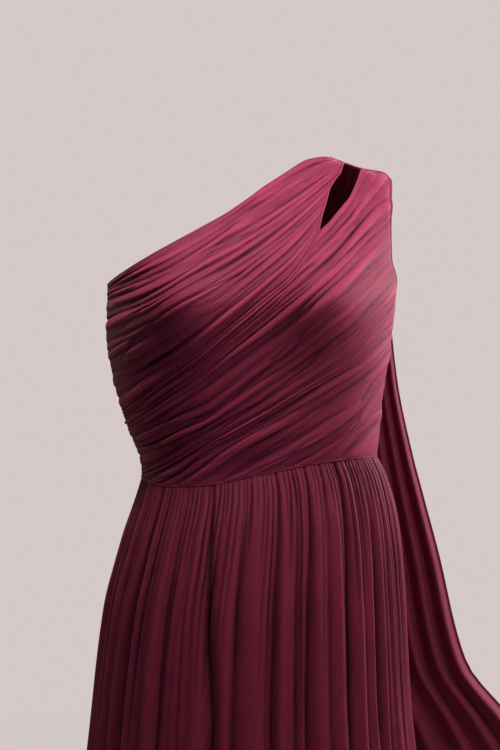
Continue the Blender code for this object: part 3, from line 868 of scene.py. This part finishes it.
upper_places = np.linspace(0, SLIT_PLEAT, SLIT_PLEAT * ROWS_PER_PLEAT + 1)
lower_places = np.linspace(SLIT_PLEAT, PLEATS, (PLEATS - SLIT_PLEAT) * ROWS_PER_PLEAT + 1)
front_parts = ((0, SLIT_PLEAT), (SLIT_PLEAT, PLEATS))
upper_base = eased_rows(upper_places, upper_row, -1, 0.42, 0.8)
lower_base = eased_rows(lower_places, lower_row, -1, 0.60, 0.75)
upper = bodice_sheet(upper_places, *upper_base, FRONT_SEED, front_creases, front_parts, SMOOTH_PLACES)
lower = bodice_sheet(lower_places, *lower_base, FRONT_SEED, front_creases, front_parts, SMOOTH_PLACES)


def joined_at_slit(upper, lower):
    """One mesh of both grids, in which the upper one's last row is the lower one's first."""
    columns = upper[0].shape[1]
    count = len(upper[0]) - 1
    start = count * columns
    data = []
    for part, kept in zip(upper, lower):
        size = part.shape[2:]
        data.append(np.concatenate([part[:-1].reshape(-1, *size), kept.reshape(-1, *size)]))
    seam = np.arange(columns - 1)
    above = start - columns + seam
    bridge = np.stack([above, above + 1, start + seam + 1, start + seam], axis=1)
    quads = np.concatenate([grid_quads(count, columns), grid_quads(*lower[0].shape[:2], start), bridge])
    return data, quads


(front_points, front_lift, front_map), front_quads = joined_at_slit(upper, lower)
front = cloth_sheet("front_bodice_cloth", front_points, front_quads, front_map, front_lift)
front.data.materials.append(bodice_chiffon)

# %% [markdown]
# ## The back of the bodice and the yoke band
#
# The back mirrors the front's pleats but has no slit and no cups. It is seen less closely, so six rows to a
# pleat are enough. The yoke band closes the shoulder behind the straps: a small folded strip that shows its
# edge above the slit.

# %% Back bodice and yoke band
BACK_SEED = 1.9
back_places = np.linspace(0, PLEATS, PLEATS * 6 + 1)
back_base = eased_rows(back_places, lambda place: back_row(place, 90), 1, 0.60, 0.85)
back_parts = ((0, PLEATS),)
back_creases = scattered_creases(260, 23, 0.0013)
back_points, back_lift, back_map = bodice_sheet(back_places, *back_base, BACK_SEED, back_creases, back_parts)
back = cloth_sheet(
    "back_bodice_cloth",
    back_points.reshape(-1, 3),
    grid_quads(*back_points.shape[:2]),
    back_map.reshape(-1, 2),
    back_lift.ravel(),
)
back.data.materials.append(bodice_chiffon)

band_heights = np.linspace(BAND_TOP, BAND_FOOT, 61)
band_depths = np.linspace(0, 1, 13) * BAND_DEPTH
band_points = np.array([torso_point(across_behind(z, band_depths), z, 1) for z in band_heights])
band_map = np.stack(np.meshgrid(band_depths, band_heights), axis=-1)
band = cloth_sheet(
    "shoulder_band_cloth",
    band_points.reshape(-1, 3),
    grid_quads(*band_points.shape[:2]),
    band_map.reshape(-1, 2),
    np.zeros(band_points.shape[:2]).ravel(),
)
band.data.materials.append(band_chiffon)

# %% [markdown]
# ## The gathered skirt
#
# A gathered skirt has folds of three sizes. Right below the seam lie dozens of tiny gathers. They run together
# into about two dozen folds over the hips, and those into a dozen large ones lower down. The large and the
# middle ones are the solid's own waves. Above them, over the hips, the folds have round backs and narrow
# valleys that nearly close, so there each valley of the front is listed one by one and the back's come from a
# fixed seed. The gathers are troughs that each have their own depth and length.

# %% Skirt
GATHERS = 48
MIDDLE_FOLDS = 24
LARGE_FOLDS = 12
SKIRT = table(
    "drop half_width front back mid_x gather middle large",
    [
        (0.000, 0.1405, 0.099, 0.092, 0.0080, 0.0009, 0.0000, 0.0000),
        (0.022, 0.1490, 0.111, 0.103, 0.0100, 0.0019, 0.0008, 0.0000),
        (0.070, 0.1630, 0.129, 0.123, 0.0080, 0.0017, 0.0030, 0.0025),
        (0.150, 0.1770, 0.149, 0.146, 0.0020, 0.0010, 0.0045, 0.0060),
        (0.300, 0.1890, 0.170, 0.174, -0.0020, 0.0006, 0.0045, 0.0105),
        (0.560, 0.2120, 0.198, 0.212, -0.0020, 0.0003, 0.0040, 0.0160),
        (1.042, 0.2680, 0.258, 0.282, 0.0000, 0.0000, 0.0030, 0.0230),
    ],
)


def uneven_turn(share, seed):
    """Moves folds along the cloth, so that they aren't evenly spaced."""
    wave = 0.010 * np.sin(4 * np.pi * share + seed) + 0.006 * np.sin(10 * np.pi * share + 2.3 * seed)
    return share + wave * np.sin(np.pi * share)


def skirt_section(drop, angle, side):
    """The skirt's smooth form before its folds."""
    across = across_at(angle)
    x = column(SKIRT, "mid_x", drop) + column(SKIRT, "half_width", drop) * across
    depth = column(SKIRT, "front" if side < 0 else "back", drop) * depth_at(across)
    seam = waist_height(angle, side) - WAIST_GAP
    height = seam * (1 - drop / SKIRT["drop"][-1]) - drop
    y = side * (depth + SIDE_GAP / 2)
    return np.stack([x, y, height], axis=-1)


FRONT_VALLEYS = (  # place at the seam and lower down as a share of the panel, depth in metres, half width
    (0.050, 0.043, 0.0090, 0.013),
    (0.125, 0.120, 0.0080, 0.012),
    (0.180, 0.176, 0.0045, 0.008),
    (0.235, 0.228, 0.0100, 0.012),
    (0.285, 0.290, 0.0050, 0.007),
    (0.330, 0.338, 0.0085, 0.009),
    (0.372, 0.380, 0.0040, 0.006),
    (0.398, 0.448, 0.0110, 0.011),
    (0.478, 0.478, 0.0060, 0.007),
    (0.527, 0.525, 0.0080, 0.009),
    (0.562, 0.562, 0.0060, 0.007),
    (0.592, 0.583, 0.0075, 0.008),
    (0.632, 0.630, 0.0040, 0.006),
    (0.682, 0.675, 0.0095, 0.010),
    (0.722, 0.722, 0.0045, 0.007),
    (0.770, 0.763, 0.0095, 0.010),
    (0.802, 0.800, 0.0070, 0.008),
    (0.872, 0.870, 0.0085, 0.012),
    (0.940, 0.945, 0.0075, 0.011),
)


def scattered_valleys(count, seed):
    dice = np.random.default_rng(seed)
    made = []
    for i in range(count):
        place = (i + dice.uniform(-0.3, 0.3) + 0.5) / count
        drift = dice.normal(0, 0.006)
        made.append((place, place + drift, dice.uniform(0.0035, 0.0105), dice.uniform(0.007, 0.013)))
    return made


def valley_heights(share, drop, valleys):
    """Narrow valleys between round folds, which open and deepen down from the seam."""
    heights = np.zeros(np.broadcast_shapes(share.shape, drop.shape))
    open_by = 0.2 + 0.8 * np.clip(drop / 0.14, 0, 1) ** 0.8
    for at_seam, below, depth, width in valleys:
        line = at_seam + (below - at_seam) * np.clip(drop / 0.25, 0, 1)
        away = np.abs(share - line) / (width * (0.2 + 0.65 * open_by))
        heights -= 1.25 * depth * open_by * np.exp(-(away**1.2))
    return heights + 0.0025 * open_by


def gather_heights(share, drop, troughs):
    """Troughs down the skirt: place at the seam and below, drop where it ends, depth and half width."""
    heights = np.zeros(np.broadcast_shapes(share.shape, drop.shape))
    for at_seam, below, end, depth, width in troughs:
        line = at_seam + (below - at_seam) * np.clip(drop / end, 0, 1)
        fade = np.clip(drop / 0.010, 0.45, 1) * np.clip((end - drop) / (0.6 * end), 0, 1)
        reach = width * (0.6 + 0.9 * np.clip(drop / 0.15, 0, 1))
        away = np.abs(share - line) / reach
        heights -= np.where(away < 6, depth * fade * np.exp(-(away**1.3)), 0)
    return heights


def scattered_gathers(count, seed):
    dice = np.random.default_rng(seed)
    made = []
    for i in range(count):
        place = (i + dice.uniform(-0.35, 0.35) + 0.5) / count
        end = 0.05 + 0.36 * dice.uniform(0, 1) ** 1.7
        depth = dice.uniform(0.0014, 0.0044) * (1 + end * 2)
        made.append((place, place + dice.normal(0, 0.006), end, depth, dice.uniform(0.0016, 0.0032)))
    return made


def even_shares(side, steps):
    """Places on a panel as shares of its angle, and the same places as shares of the cloth's length."""
    share = np.linspace(0, 1, steps + 1)
    seam = skirt_section(np.full(steps + 1, 0.06), 180 * share - 90, side)
    length = np.concatenate([[0], np.cumsum(np.linalg.norm(np.diff(seam, axis=0), axis=1))])
    return share, length / length[-1]


def skirt_panel(name, side, seed, columns, rows, troughs, valleys):
    by_angle, by_cloth = even_shares(side, 4000)
    cloth_share = np.linspace(0, 1, columns + 1)
    share = np.interp(cloth_share, by_cloth, by_angle)
    drop = np.linspace(0, 1, rows + 1)[:, None] ** 1.9 * SKIRT["drop"][-1]
    angles = 180 * share - 90
    base = skirt_section(drop, angles, side)
    to_seam = np.minimum(share, 1 - share) * 2 * GATHERS
    free = np.clip((to_seam - 1) / 3, 0, 1)
    moved = uneven_turn(share, seed)
    turn = LARGE_FOLDS * moved + seed / (2 * math.pi)
    sizes = unevenness(np.round(LARGE_FOLDS * moved), seed + 1)
    large = np.cos(2 * np.pi * turn) * (0.55 + 0.45 * sizes)
    middle = np.cos(2 * np.pi * MIDDLE_FOLDS * moved + 0.4 * seed)
    low_down = np.clip((drop - 0.24) / 0.34, 0, 1)
    low_down = low_down * low_down * (3 - 2 * low_down)
    lift = column(SKIRT, "middle", drop) * middle * (0.35 + 0.65 * low_down)
    lift = lift + column(SKIRT, "large", drop) * large * low_down
    placed = [(*np.interp(valley[:2], by_angle, by_cloth), *valley[2:]) for valley in valleys]
    deep = valley_heights(cloth_share[None, :], drop, placed) * (1 - low_down)
    small = gather_heights(cloth_share[None, :], drop, troughs)
    lift = free * (lift + deep + small)
    points = base + outward(base) * lift[..., None]
    lengths = cloth_lengths(base)
    cloth_map = np.stack([lengths, np.broadcast_to(drop, lengths.shape)], axis=-1)
    # Painted shade and highlight: the gathers, the narrow valleys and the troughs of the large folds are stored
    # darker and their crests lighter, for the finish to paint.
    size = column(SKIRT, "large", drop) + column(SKIRT, "middle", drop) + 0.0018
    painted_shade = 0.12 + small / 0.0024 * 0.42 + deep / 0.0075 * 0.6 + low_down * lift / size * 0.5
    made = cloth_sheet(
        name,
        points.reshape(-1, 3),
        grid_quads(*points.shape[:2]),
        cloth_map.reshape(-1, 2),
        np.clip(painted_shade, -1.2, 0.6).ravel(),
    )
    made.data.materials.append(skirt_chiffon)
    return made, points


front_skirt, front_skirt_points = skirt_panel(
    "skirt_front_cloth", -1, 0.7, 460, 100, scattered_gathers(76, 5), FRONT_VALLEYS
)
back_skirt, back_skirt_points = skirt_panel(
    "skirt_back_cloth", 1, 1.6, 320, 84, scattered_gathers(70, 6), scattered_valleys(18, 8)
)

# %% [markdown]
# ## The cape
#
# The cape is gathered into the back of the shoulder band and falls free. It rests on the back of the dress
# while that stands out further than the place where the cape would hang by itself, and then leaves it. Each
# row takes the further of the two, with a soft change between them.

# %% Cape
CAPE_FOLDS = 9
CAPE = table(
    "height inner outer behind clear fold",
    [
        (0.352, 0.104, 0.156, 0.020, 0.0041, 0.0004),
        (0.342, 0.103, 0.160, 0.035, 0.0068, 0.0006),
        (0.328, 0.102, 0.164, 0.055, 0.0075, 0.0010),
        (0.306, 0.100, 0.168, 0.085, 0.0080, 0.0017),
        (0.270, 0.095, 0.173, 0.110, 0.0085, 0.0026),
        (0.200, 0.086, 0.179, 0.130, 0.0085, 0.0045),
        (0.100, 0.072, 0.190, 0.136, 0.0080, 0.0065),
        (0.000, 0.058, 0.211, 0.140, 0.0090, 0.0085),
        (-0.130, 0.044, 0.246, 0.145, 0.0090, 0.0110),
        (-0.278, 0.034, 0.285, 0.155, 0.0100, 0.0140),
        (-0.360, 0.028, 0.350, 0.165, 0.0100, 0.0160),
        (-0.520, 0.020, 0.462, 0.190, 0.0100, 0.0190),
        (-0.760, 0.010, 0.560, 0.230, 0.0100, 0.0230),
        (-1.036, 0.000, 0.625, 0.280, 0.0100, 0.0270),
    ],
)


def behind_dress(x, height):
    """How far back the bodice or the skirt reaches at a place seen from behind, without its folds."""
    drop = np.clip(-height, SKIRT["drop"][0], SKIRT["drop"][-1])
    above = np.clip(height / 0.02 + 0.5, 0, 1)
    middle = above * column(TORSO, "mid_x", height) + (1 - above) * column(SKIRT, "mid_x", drop)
    wide = above * column(TORSO, "half_width", height) + (1 - above) * column(SKIRT, "half_width", drop)
    deep = above * column(TORSO, "back", height) + (1 - above) * column(SKIRT, "back", drop)
    folds = (1 - above) * (column(SKIRT, "large", drop) + column(SKIRT, "middle", drop))
    across = np.clip((x - middle) / wide, -1, 1)
    return above * column(TORSO, "mid_y", height) + deep * depth_at(across) + folds


def resting_behind(x, height, clearance):
    """Points moved straight out from the back of the dress."""
    small = 0.002
    by_x = (behind_dress(x + small, height) - behind_dress(x - small, height)) / (2 * small)
    by_z = (behind_dress(x, height + small) - behind_dress(x, height - small)) / (2 * small)
    by_x, by_z = np.clip(by_x, -1.5, 1.5), np.clip(by_z, -3, 3)
    out = np.stack([-by_x, np.ones_like(x), -by_z], axis=-1)
    out /= np.linalg.norm(out, axis=-1, keepdims=True)
    return np.stack([x, behind_dress(x, height), height], axis=-1) + out * clearance[..., None]


REACH_CELL = 0.006


def reach_behind(grids, x, height):
    """How far back these sheets reach, folds and all, at places seen from behind."""
    low_x, low_z = -0.45, -1.10
    cells = np.full((250, 160), -1.0)
    for grid in grids:
        fine = np.concatenate([grid[:, :-1] * (1 - t) + grid[:, 1:] * t for t in (0, 0.25, 0.5, 0.75)])
        fine = np.concatenate([fine[:-1] * (1 - t) + fine[1:] * t for t in (0, 0.5)]).reshape(-1, 3)
        across = np.clip(((fine[:, 0] - low_x) / REACH_CELL).astype(int), 0, 159)
        up = np.clip(((fine[:, 2] - low_z) / REACH_CELL).astype(int), 0, 249)
        np.maximum.at(cells, (up, across), fine[:, 1])
    for _ in range(2):
        spread = cells.copy()
        for by_row, by_column in ((0, 1), (0, -1), (1, 0), (-1, 0)):
            spread = np.maximum(spread, np.roll(cells, (by_row, by_column), (0, 1)))
        cells = spread
    across = np.clip(((x - low_x) / REACH_CELL).astype(int), 0, 159)
    up = np.clip(((height - low_z) / REACH_CELL).astype(int), 0, 249)
    return cells[up, across]


def softened(values, rounds):
    for _ in range(rounds):
        padded = np.pad(values, 1, mode="edge")
        beside = padded[:-2, 1:-1] + padded[2:, 1:-1] + padded[1:-1, :-2] + padded[1:-1, 2:]
        values = values / 2 + beside / 8
    return values


def cape_column(name, height):
    return smooth_through(CAPE["height"][::-1], CAPE[name][::-1], height)


def shoulder_cape(columns, rows):
    share = np.linspace(0, 1, columns + 1)
    waves = np.cos(2 * np.pi * CAPE_FOLDS * uneven_turn(share, 0.8)) * (0.75 + 0.25 * np.sin(7 * share + 0.6))
    top = CAPE["height"][0]
    level = top - (top - CAPE["height"][-1]) * np.linspace(0, 1, rows + 1)[:, None] ** 1.5
    fall = (top - level) / 0.12
    height = level + (np.linspace(0.3655, 0.3520, columns + 1) - top) * np.maximum(0, 1 - fall)
    inner, outer = cape_column("inner", level), cape_column("outer", level)
    x = inner + (outer - inner) * share
    fold = cape_column("fold", level)
    points = resting_behind(x, height, cape_column("clear", level) + fold + 0 * x)
    points[..., 0] += (x - points[..., 0]) * np.clip(fall * 4, 0, 1)
    short = cape_column("behind", level) - points[..., 1]
    soft = 0.012 * np.minimum(1, fall)
    points[..., 1] += (short + np.sqrt(short**2 + soft**2)) / 2 + fold * waves * (1 - 0.55 * share**2)
    needed = reach_behind((back_points, back_skirt_points), points[..., 0], points[..., 2]) + 0.0035
    push = np.clip(needed - points[..., 1], 0, 0.03) * (fall > 0.05)
    points[..., 1] += np.maximum(softened(push, 6), push * 0.8)
    lengths = cloth_lengths(points)
    cloth_map = np.stack([lengths, np.broadcast_to(-level, lengths.shape)], axis=-1)
    # Painted shade and highlight: the troughs of the cape's waves are stored darker and their crests lighter, for
    # the finish to paint.
    lift = np.broadcast_to(0.3 * waves * np.clip(fall, 0, 1), lengths.shape)
    made = cloth_sheet(
        "cape_cloth", points.reshape(-1, 3), grid_quads(*points.shape[:2]), cloth_map.reshape(-1, 2), lift.ravel()
    )
    made.data.materials.append(cape_chiffon)
    return made, points


cape, cape_points = shoulder_cape(180, 90)

# %% [markdown]
# ## Rolled edges
#
# A chiffon edge is rolled over itself and sewn, which leaves a rim about two millimetres thick. It follows a
# path that the sheets already have, so it is a job for Geometry Nodes: the tree turns each line into a curve,
# sweeps a small ring along it and gives it its finish. The modifier's result is kept as a plain mesh.

# %% Tree of the rolled edge
def new_tree(name, inputs):
    tree = bpy.data.node_groups.new(name, "GeometryNodeTree")
    tree.interface.new_socket(name="Lines", in_out="INPUT", socket_type="NodeSocketGeometry")
    tree.interface.new_socket(name="Made", in_out="OUTPUT", socket_type="NodeSocketGeometry")
    for socket_name, kind, value in inputs:
        socket = tree.interface.new_socket(name=socket_name, in_out="INPUT", socket_type=kind)
        if value is not None:
            socket.default_value = value
    return tree, tree.nodes.new("NodeGroupInput"), tree.nodes.new("NodeGroupOutput")


def rolled_edge_tree():
    tree, given, result = new_tree(
        "rolled edge",
        (
            ("Radius", "NodeSocketFloat", 0.0010),
            ("Sides", "NodeSocketInt", 8),
            ("Finish", "NodeSocketMaterial", None),
        ),
    )
    links = tree.links
    curve = tree.nodes.new("GeometryNodeMeshToCurve")
    ring = tree.nodes.new("GeometryNodeCurvePrimitiveCircle")
    sweep = tree.nodes.new("GeometryNodeCurveToMesh")
    smooth = tree.nodes.new("GeometryNodeSetShadeSmooth")
    realize = tree.nodes.new("GeometryNodeRealizeInstances")
    finish = tree.nodes.new("GeometryNodeSetMaterial")
    sweep.inputs["Fill Caps"].default_value = True
    links.new(given.outputs["Lines"], curve.inputs["Mesh"])
    links.new(given.outputs["Radius"], ring.inputs["Radius"])
    links.new(given.outputs["Sides"], ring.inputs["Resolution"])
    links.new(curve.outputs["Curve"], sweep.inputs["Curve"])
    links.new(ring.outputs["Curve"], sweep.inputs["Profile Curve"])
    links.new(sweep.outputs["Mesh"], smooth.inputs["Geometry"])
    links.new(smooth.outputs["Geometry"], realize.inputs["Geometry"])
    links.new(realize.outputs["Geometry"], finish.inputs["Geometry"])
    links.new(given.outputs["Finish"], finish.inputs["Material"])
    links.new(finish.outputs["Geometry"], result.inputs["Made"])
    return tree


ROLLED_EDGE = rolled_edge_tree()
print("The rolled edge's tree has", len(ROLLED_EDGE.nodes), "nodes")

# %% [markdown]
# ## Stitches
#
# Stitches are the plainest repeat there is: one short thread, set along a line at even steps. The tree walks
# the line in steps, lays a slim bead along the line's direction on each, and varies their length a little from
# a fixed seed. Each bead has a few dozen faces, because there are hundreds.

# %% Tree of the stitches
def stitches_tree():
    tree, given, result = new_tree(
        "stitches",
        (
            ("Step", "NodeSocketFloat", 0.008),
            ("Length", "NodeSocketFloat", 0.003),
            ("Thread", "NodeSocketFloat", 0.0003),
            ("Seed", "NodeSocketInt", 4),
            ("Finish", "NodeSocketMaterial", None),
        ),
    )
    links = tree.links
    curve = tree.nodes.new("GeometryNodeMeshToCurve")
    steps = tree.nodes.new("GeometryNodeResampleCurve")
    steps.mode = "LENGTH"
    bead = tree.nodes.new("GeometryNodeMeshUVSphere")
    bead.inputs["Segments"].default_value = 6
    bead.inputs["Rings"].default_value = 5
    bead.inputs["Radius"].default_value = 1.0
    tangent = tree.nodes.new("GeometryNodeInputTangent")
    turned = tree.nodes.new("FunctionNodeAlignRotationToVector")
    turned.axis = "Z"
    size = tree.nodes.new("ShaderNodeCombineXYZ")
    half = tree.nodes.new("ShaderNodeMath")
    half.operation = "MULTIPLY"
    varied = tree.nodes.new("FunctionNodeRandomValue")
    varied.data_type = "FLOAT"
    spread = {socket.name: socket for socket in varied.inputs if socket.enabled}
    spread["Min"].default_value = 0.42
    spread["Max"].default_value = 0.55
    place = tree.nodes.new("GeometryNodeInstanceOnPoints")
    smooth = tree.nodes.new("GeometryNodeSetShadeSmooth")
    realize = tree.nodes.new("GeometryNodeRealizeInstances")
    finish = tree.nodes.new("GeometryNodeSetMaterial")
    links.new(given.outputs["Lines"], curve.inputs["Mesh"])
    links.new(curve.outputs["Curve"], steps.inputs["Curve"])
    links.new(given.outputs["Step"], steps.inputs["Length"])
    links.new(given.outputs["Seed"], spread["Seed"])
    links.new(given.outputs["Length"], half.inputs[0])
    links.new(next(socket for socket in varied.outputs if socket.enabled), half.inputs[1])
    links.new(given.outputs["Thread"], size.inputs["X"])
    links.new(given.outputs["Thread"], size.inputs["Y"])
    links.new(half.outputs["Value"], size.inputs["Z"])
    links.new(tangent.outputs["Tangent"], turned.inputs["Vector"])
    links.new(steps.outputs["Curve"], place.inputs["Points"])
    links.new(bead.outputs["Mesh"], place.inputs["Instance"])
    links.new(turned.outputs["Rotation"], place.inputs["Rotation"])
    links.new(size.outputs["Vector"], place.inputs["Scale"])
    links.new(place.outputs["Instances"], realize.inputs["Geometry"])
    links.new(realize.outputs["Geometry"], smooth.inputs["Geometry"])
    links.new(smooth.outputs["Geometry"], finish.inputs["Geometry"])
    links.new(given.outputs["Finish"], finish.inputs["Material"])
    links.new(finish.outputs["Geometry"], result.inputs["Made"])
    return tree


STITCHES = stitches_tree()
print("The stitches' tree has", len(STITCHES.nodes), "nodes")


# %% Finishes of the edges and the thread
def edge_finish(name, light, dark, grain, rough):
    """Cloth or thread too narrow for a map of its own, so its grain is placed by Object coordinates."""
    made = bpy.data.materials.new(name)
    made.use_nodes = True
    tree = made.node_tree
    shader = tree.nodes["Principled BSDF"]
    place = tree.nodes.new("ShaderNodeTexCoord")
    noise = tree.nodes.new("ShaderNodeTexNoise")
    noise.inputs["Scale"].default_value = grain
    noise.inputs["Detail"].default_value = 3
    mixed = tree.nodes.new("ShaderNodeMix")
    mixed.data_type = "RGBA"
    mixed.inputs["A"].default_value = (*dark, 1)
    mixed.inputs["B"].default_value = (*light, 1)
    relief = tree.nodes.new("ShaderNodeBump")
    relief.inputs["Strength"].default_value = 0.4
    relief.inputs["Distance"].default_value = 0.0004
    tree.links.new(place.outputs["Object"], noise.inputs["Vector"])
    tree.links.new(noise.outputs["Fac"], mixed.inputs["Factor"])
    tree.links.new(mixed.outputs["Result"], shader.inputs["Base Color"])
    tree.links.new(noise.outputs["Fac"], relief.inputs["Height"])
    tree.links.new(relief.outputs["Normal"], shader.inputs["Normal"])
    shader.inputs["Roughness"].default_value = rough
    shader.inputs["Specular IOR Level"].default_value = 0.25
    return made


bodice_edge = edge_finish("bodice_edge", (0.36, 0.042, 0.105), (0.14, 0.012, 0.034), 700, 0.7)
skirt_edge = edge_finish("skirt_edge", (0.16, 0.014, 0.042), (0.07, 0.006, 0.018), 700, 0.7)
cape_edge = edge_finish("cape_edge", (0.22, 0.022, 0.060), (0.10, 0.009, 0.027), 700, 0.7)
seam_thread = edge_finish("seam_thread", (0.20, 0.020, 0.055), (0.10, 0.008, 0.026), 2500, 0.5)


def run_along(name, tree, lines, finish, values):
    """A piece that a tree makes along lines of points, given from the middle of the waist."""
    points, edges = [], []
    for line in lines:
        start = len(points)
        points += (np.asarray(line) - HELD).tolist()
        edges += [(start + i, start + i + 1) for i in range(len(line) - 1)]
    mesh = bpy.data.meshes.new(name)
    mesh.from_pydata(points, edges, [])
    made = bpy.data.objects.new(name, mesh)
    bpy.context.scene.collection.objects.link(made)
    along = made.modifiers.new("along", "NODES")
    along.node_group = tree
    for item in tree.interface.items_tree:
        if item.item_type == "SOCKET" and item.in_out == "INPUT" and item.name in {**values, "Finish": 0}:
            along[item.identifier] = finish if item.name == "Finish" else values[item.name]
    evaluated = made.evaluated_get(bpy.context.evaluated_depsgraph_get())
    made.data = bpy.data.meshes.new_from_object(evaluated)
    made.data.name = name
    made.modifiers.remove(along)
    if not made.data.materials:
        made.data.materials.append(finish)
    print(f"{name}: {len(lines)} lines, {len(made.data.polygons)} faces")
    return made


# %% Edges and sewing
ARMHOLE_PLEAT = 26.5
upper_points, lower_points = upper[0], lower[0]
armhole = lower_places <= ARMHOLE_PLEAT
back_armhole = (back_places >= 15) & (back_places <= ARMHOLE_PLEAT)
bodice_edges = run_along(
    "bodice_rolled_edges",
    ROLLED_EDGE,
    [
        upper_points[0],
        upper_points[3 * ROWS_PER_PLEAT :, -1],
        lower_points[0, TO_SLIT_STEPS:],
        lower_points[armhole, -1],
        back_points[0],
        back_points[back_armhole, -1],
    ],
    bodice_edge,
    {"Radius": 0.0009, "Sides": 8},
)
band_edges = run_along(
    "band_rolled_edges",
    ROLLED_EDGE,
    [band_points[:, 0] + (0, 0, 0.0004), band_points[:, -1]],
    bodice_edge,
    {"Radius": 0.0014, "Sides": 8},
)
SEAM_ROLL = 0.0017
SEAM_BEHIND = 0.0012


def behind_seam(line):
    """A seam's line moved a little towards the middle of the dress."""
    middle = column(TORSO, "mid_x", line[:, 2]), column(TORSO, "mid_y", line[:, 2])
    inward = np.stack([middle[0] - line[:, 0], middle[1] - line[:, 1], 0 * line[:, 2]], axis=1)
    return line + inward / np.linalg.norm(inward, axis=1, keepdims=True) * SEAM_BEHIND


right_seam_heights = np.linspace(0.001, 0.2150, 60)
left_seam_heights = np.linspace(0.016, 0.2040, 60)
waist_angles = np.linspace(-90, 90, 120)
seam_lines = [
    torso_point(across_at(-90.0), right_seam_heights, 1),
    torso_point(across_at(90.0), left_seam_heights, 1),
    torso_point(across_at(waist_angles), waist_height(waist_angles, -1), -1),
    torso_point(across_at(waist_angles), waist_height(waist_angles, 1), 1),
]
seam_rolls = run_along(
    "turned_in_seams",
    ROLLED_EDGE,
    [behind_seam(line) for line in seam_lines],
    bodice_edge,
    {"Radius": SEAM_ROLL, "Sides": 8},
)
skirt_hem = run_along(
    "skirt_rolled_hem",
    ROLLED_EDGE,
    [front_skirt_points[-1], back_skirt_points[-1]],
    skirt_edge,
    {"Radius": 0.0010, "Sides": 6},
)
cape_edges = run_along(
    "cape_rolled_edges",
    ROLLED_EDGE,
    [cape_points[1:, 0], cape_points[1:, -1], cape_points[-1]],
    cape_edge,
    {"Radius": 0.0009, "Sides": 6},
)
hem_stitches = run_along(
    "hem_stitches",
    STITCHES,
    [front_skirt_points[-2] - (0, 0.0003, 0), back_skirt_points[-2] + (0, 0.0003, 0)],
    seam_thread,
    {"Step": 0.009, "Length": 0.0030, "Thread": 0.00035, "Seed": 4},
)
cape_stitches = run_along(
    "cape_hem_stitches",
    STITCHES,
    [cape_points[-2] + (0, 0.0003, 0)],
    seam_thread,
    {"Step": 0.008, "Length": 0.0028, "Thread": 0.00035, "Seed": 5},
)
band_stitches = run_along(
    "band_stitches",
    STITCHES,
    [band_points[:, -2] + (0, 0.0006, 0.0003)],
    seam_thread,
    {"Step": 0.004, "Length": 0.0026, "Thread": 0.00035, "Seed": 6},
)
FITTINGS = (  # piece, finish
    (bodice_edges, "bodice_chiffon"),
    (band_edges, "band_chiffon"),
    (seam_rolls, "bodice_chiffon"),
    (skirt_hem, "skirt_chiffon"),
    (cape_edges, "cape_chiffon"),
    (hem_stitches, "skirt_chiffon"),
    (cape_stitches, "cape_chiffon"),
    (band_stitches, "band_chiffon"),
)

# %% [markdown]
# ## Where each piece belongs
#
# Each sheet rides on the dress's one body, stands for its solid, which is hidden, and says how large it
# was cut.

# %% Handing the pieces over
SHEETS = (  # piece, solid, finish, cut width and length, area, how it is held, what it hangs from
    (front, "front_bodice", "bodice_chiffon", (0.42, 0.47), 0.168, "gathered", ["shoulder_band_cloth"]),
    (back, "back_bodice", "bodice_chiffon", (0.40, 0.46), 0.157, "gathered", ["shoulder_band_cloth"]),
    (band, "shoulder_band", "band_chiffon", (0.076, 0.015), None, "stretched", ["front_bodice_cloth"]),
    (front_skirt, "skirt_front", "skirt_chiffon", (1.32, 1.06), 1.09, "gathered", ["front_bodice_cloth"]),
    (back_skirt, "skirt_back", "skirt_chiffon", (1.34, 1.06), 1.11, "gathered", ["back_bodice_cloth"]),
    (cape, "cape", "cape_chiffon", (0.90, 1.48), 0.83, "hung", ["shoulder_band_cloth"]),
)


def sheet_area(piece):
    return sum(polygon.area for polygon in piece.data.polygons)


for piece, node, finish, cut, area, held, hangs_from in SHEETS:
    print(piece.name, "has", round(sheet_area(piece), 3), "square metres; cut", cut[0] * cut[1])

for piece, node, finish, cut, area, held, hangs_from in SHEETS:
    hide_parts(node)
    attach(piece, "root")
for piece, finish in FITTINGS:
    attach(piece, "root")
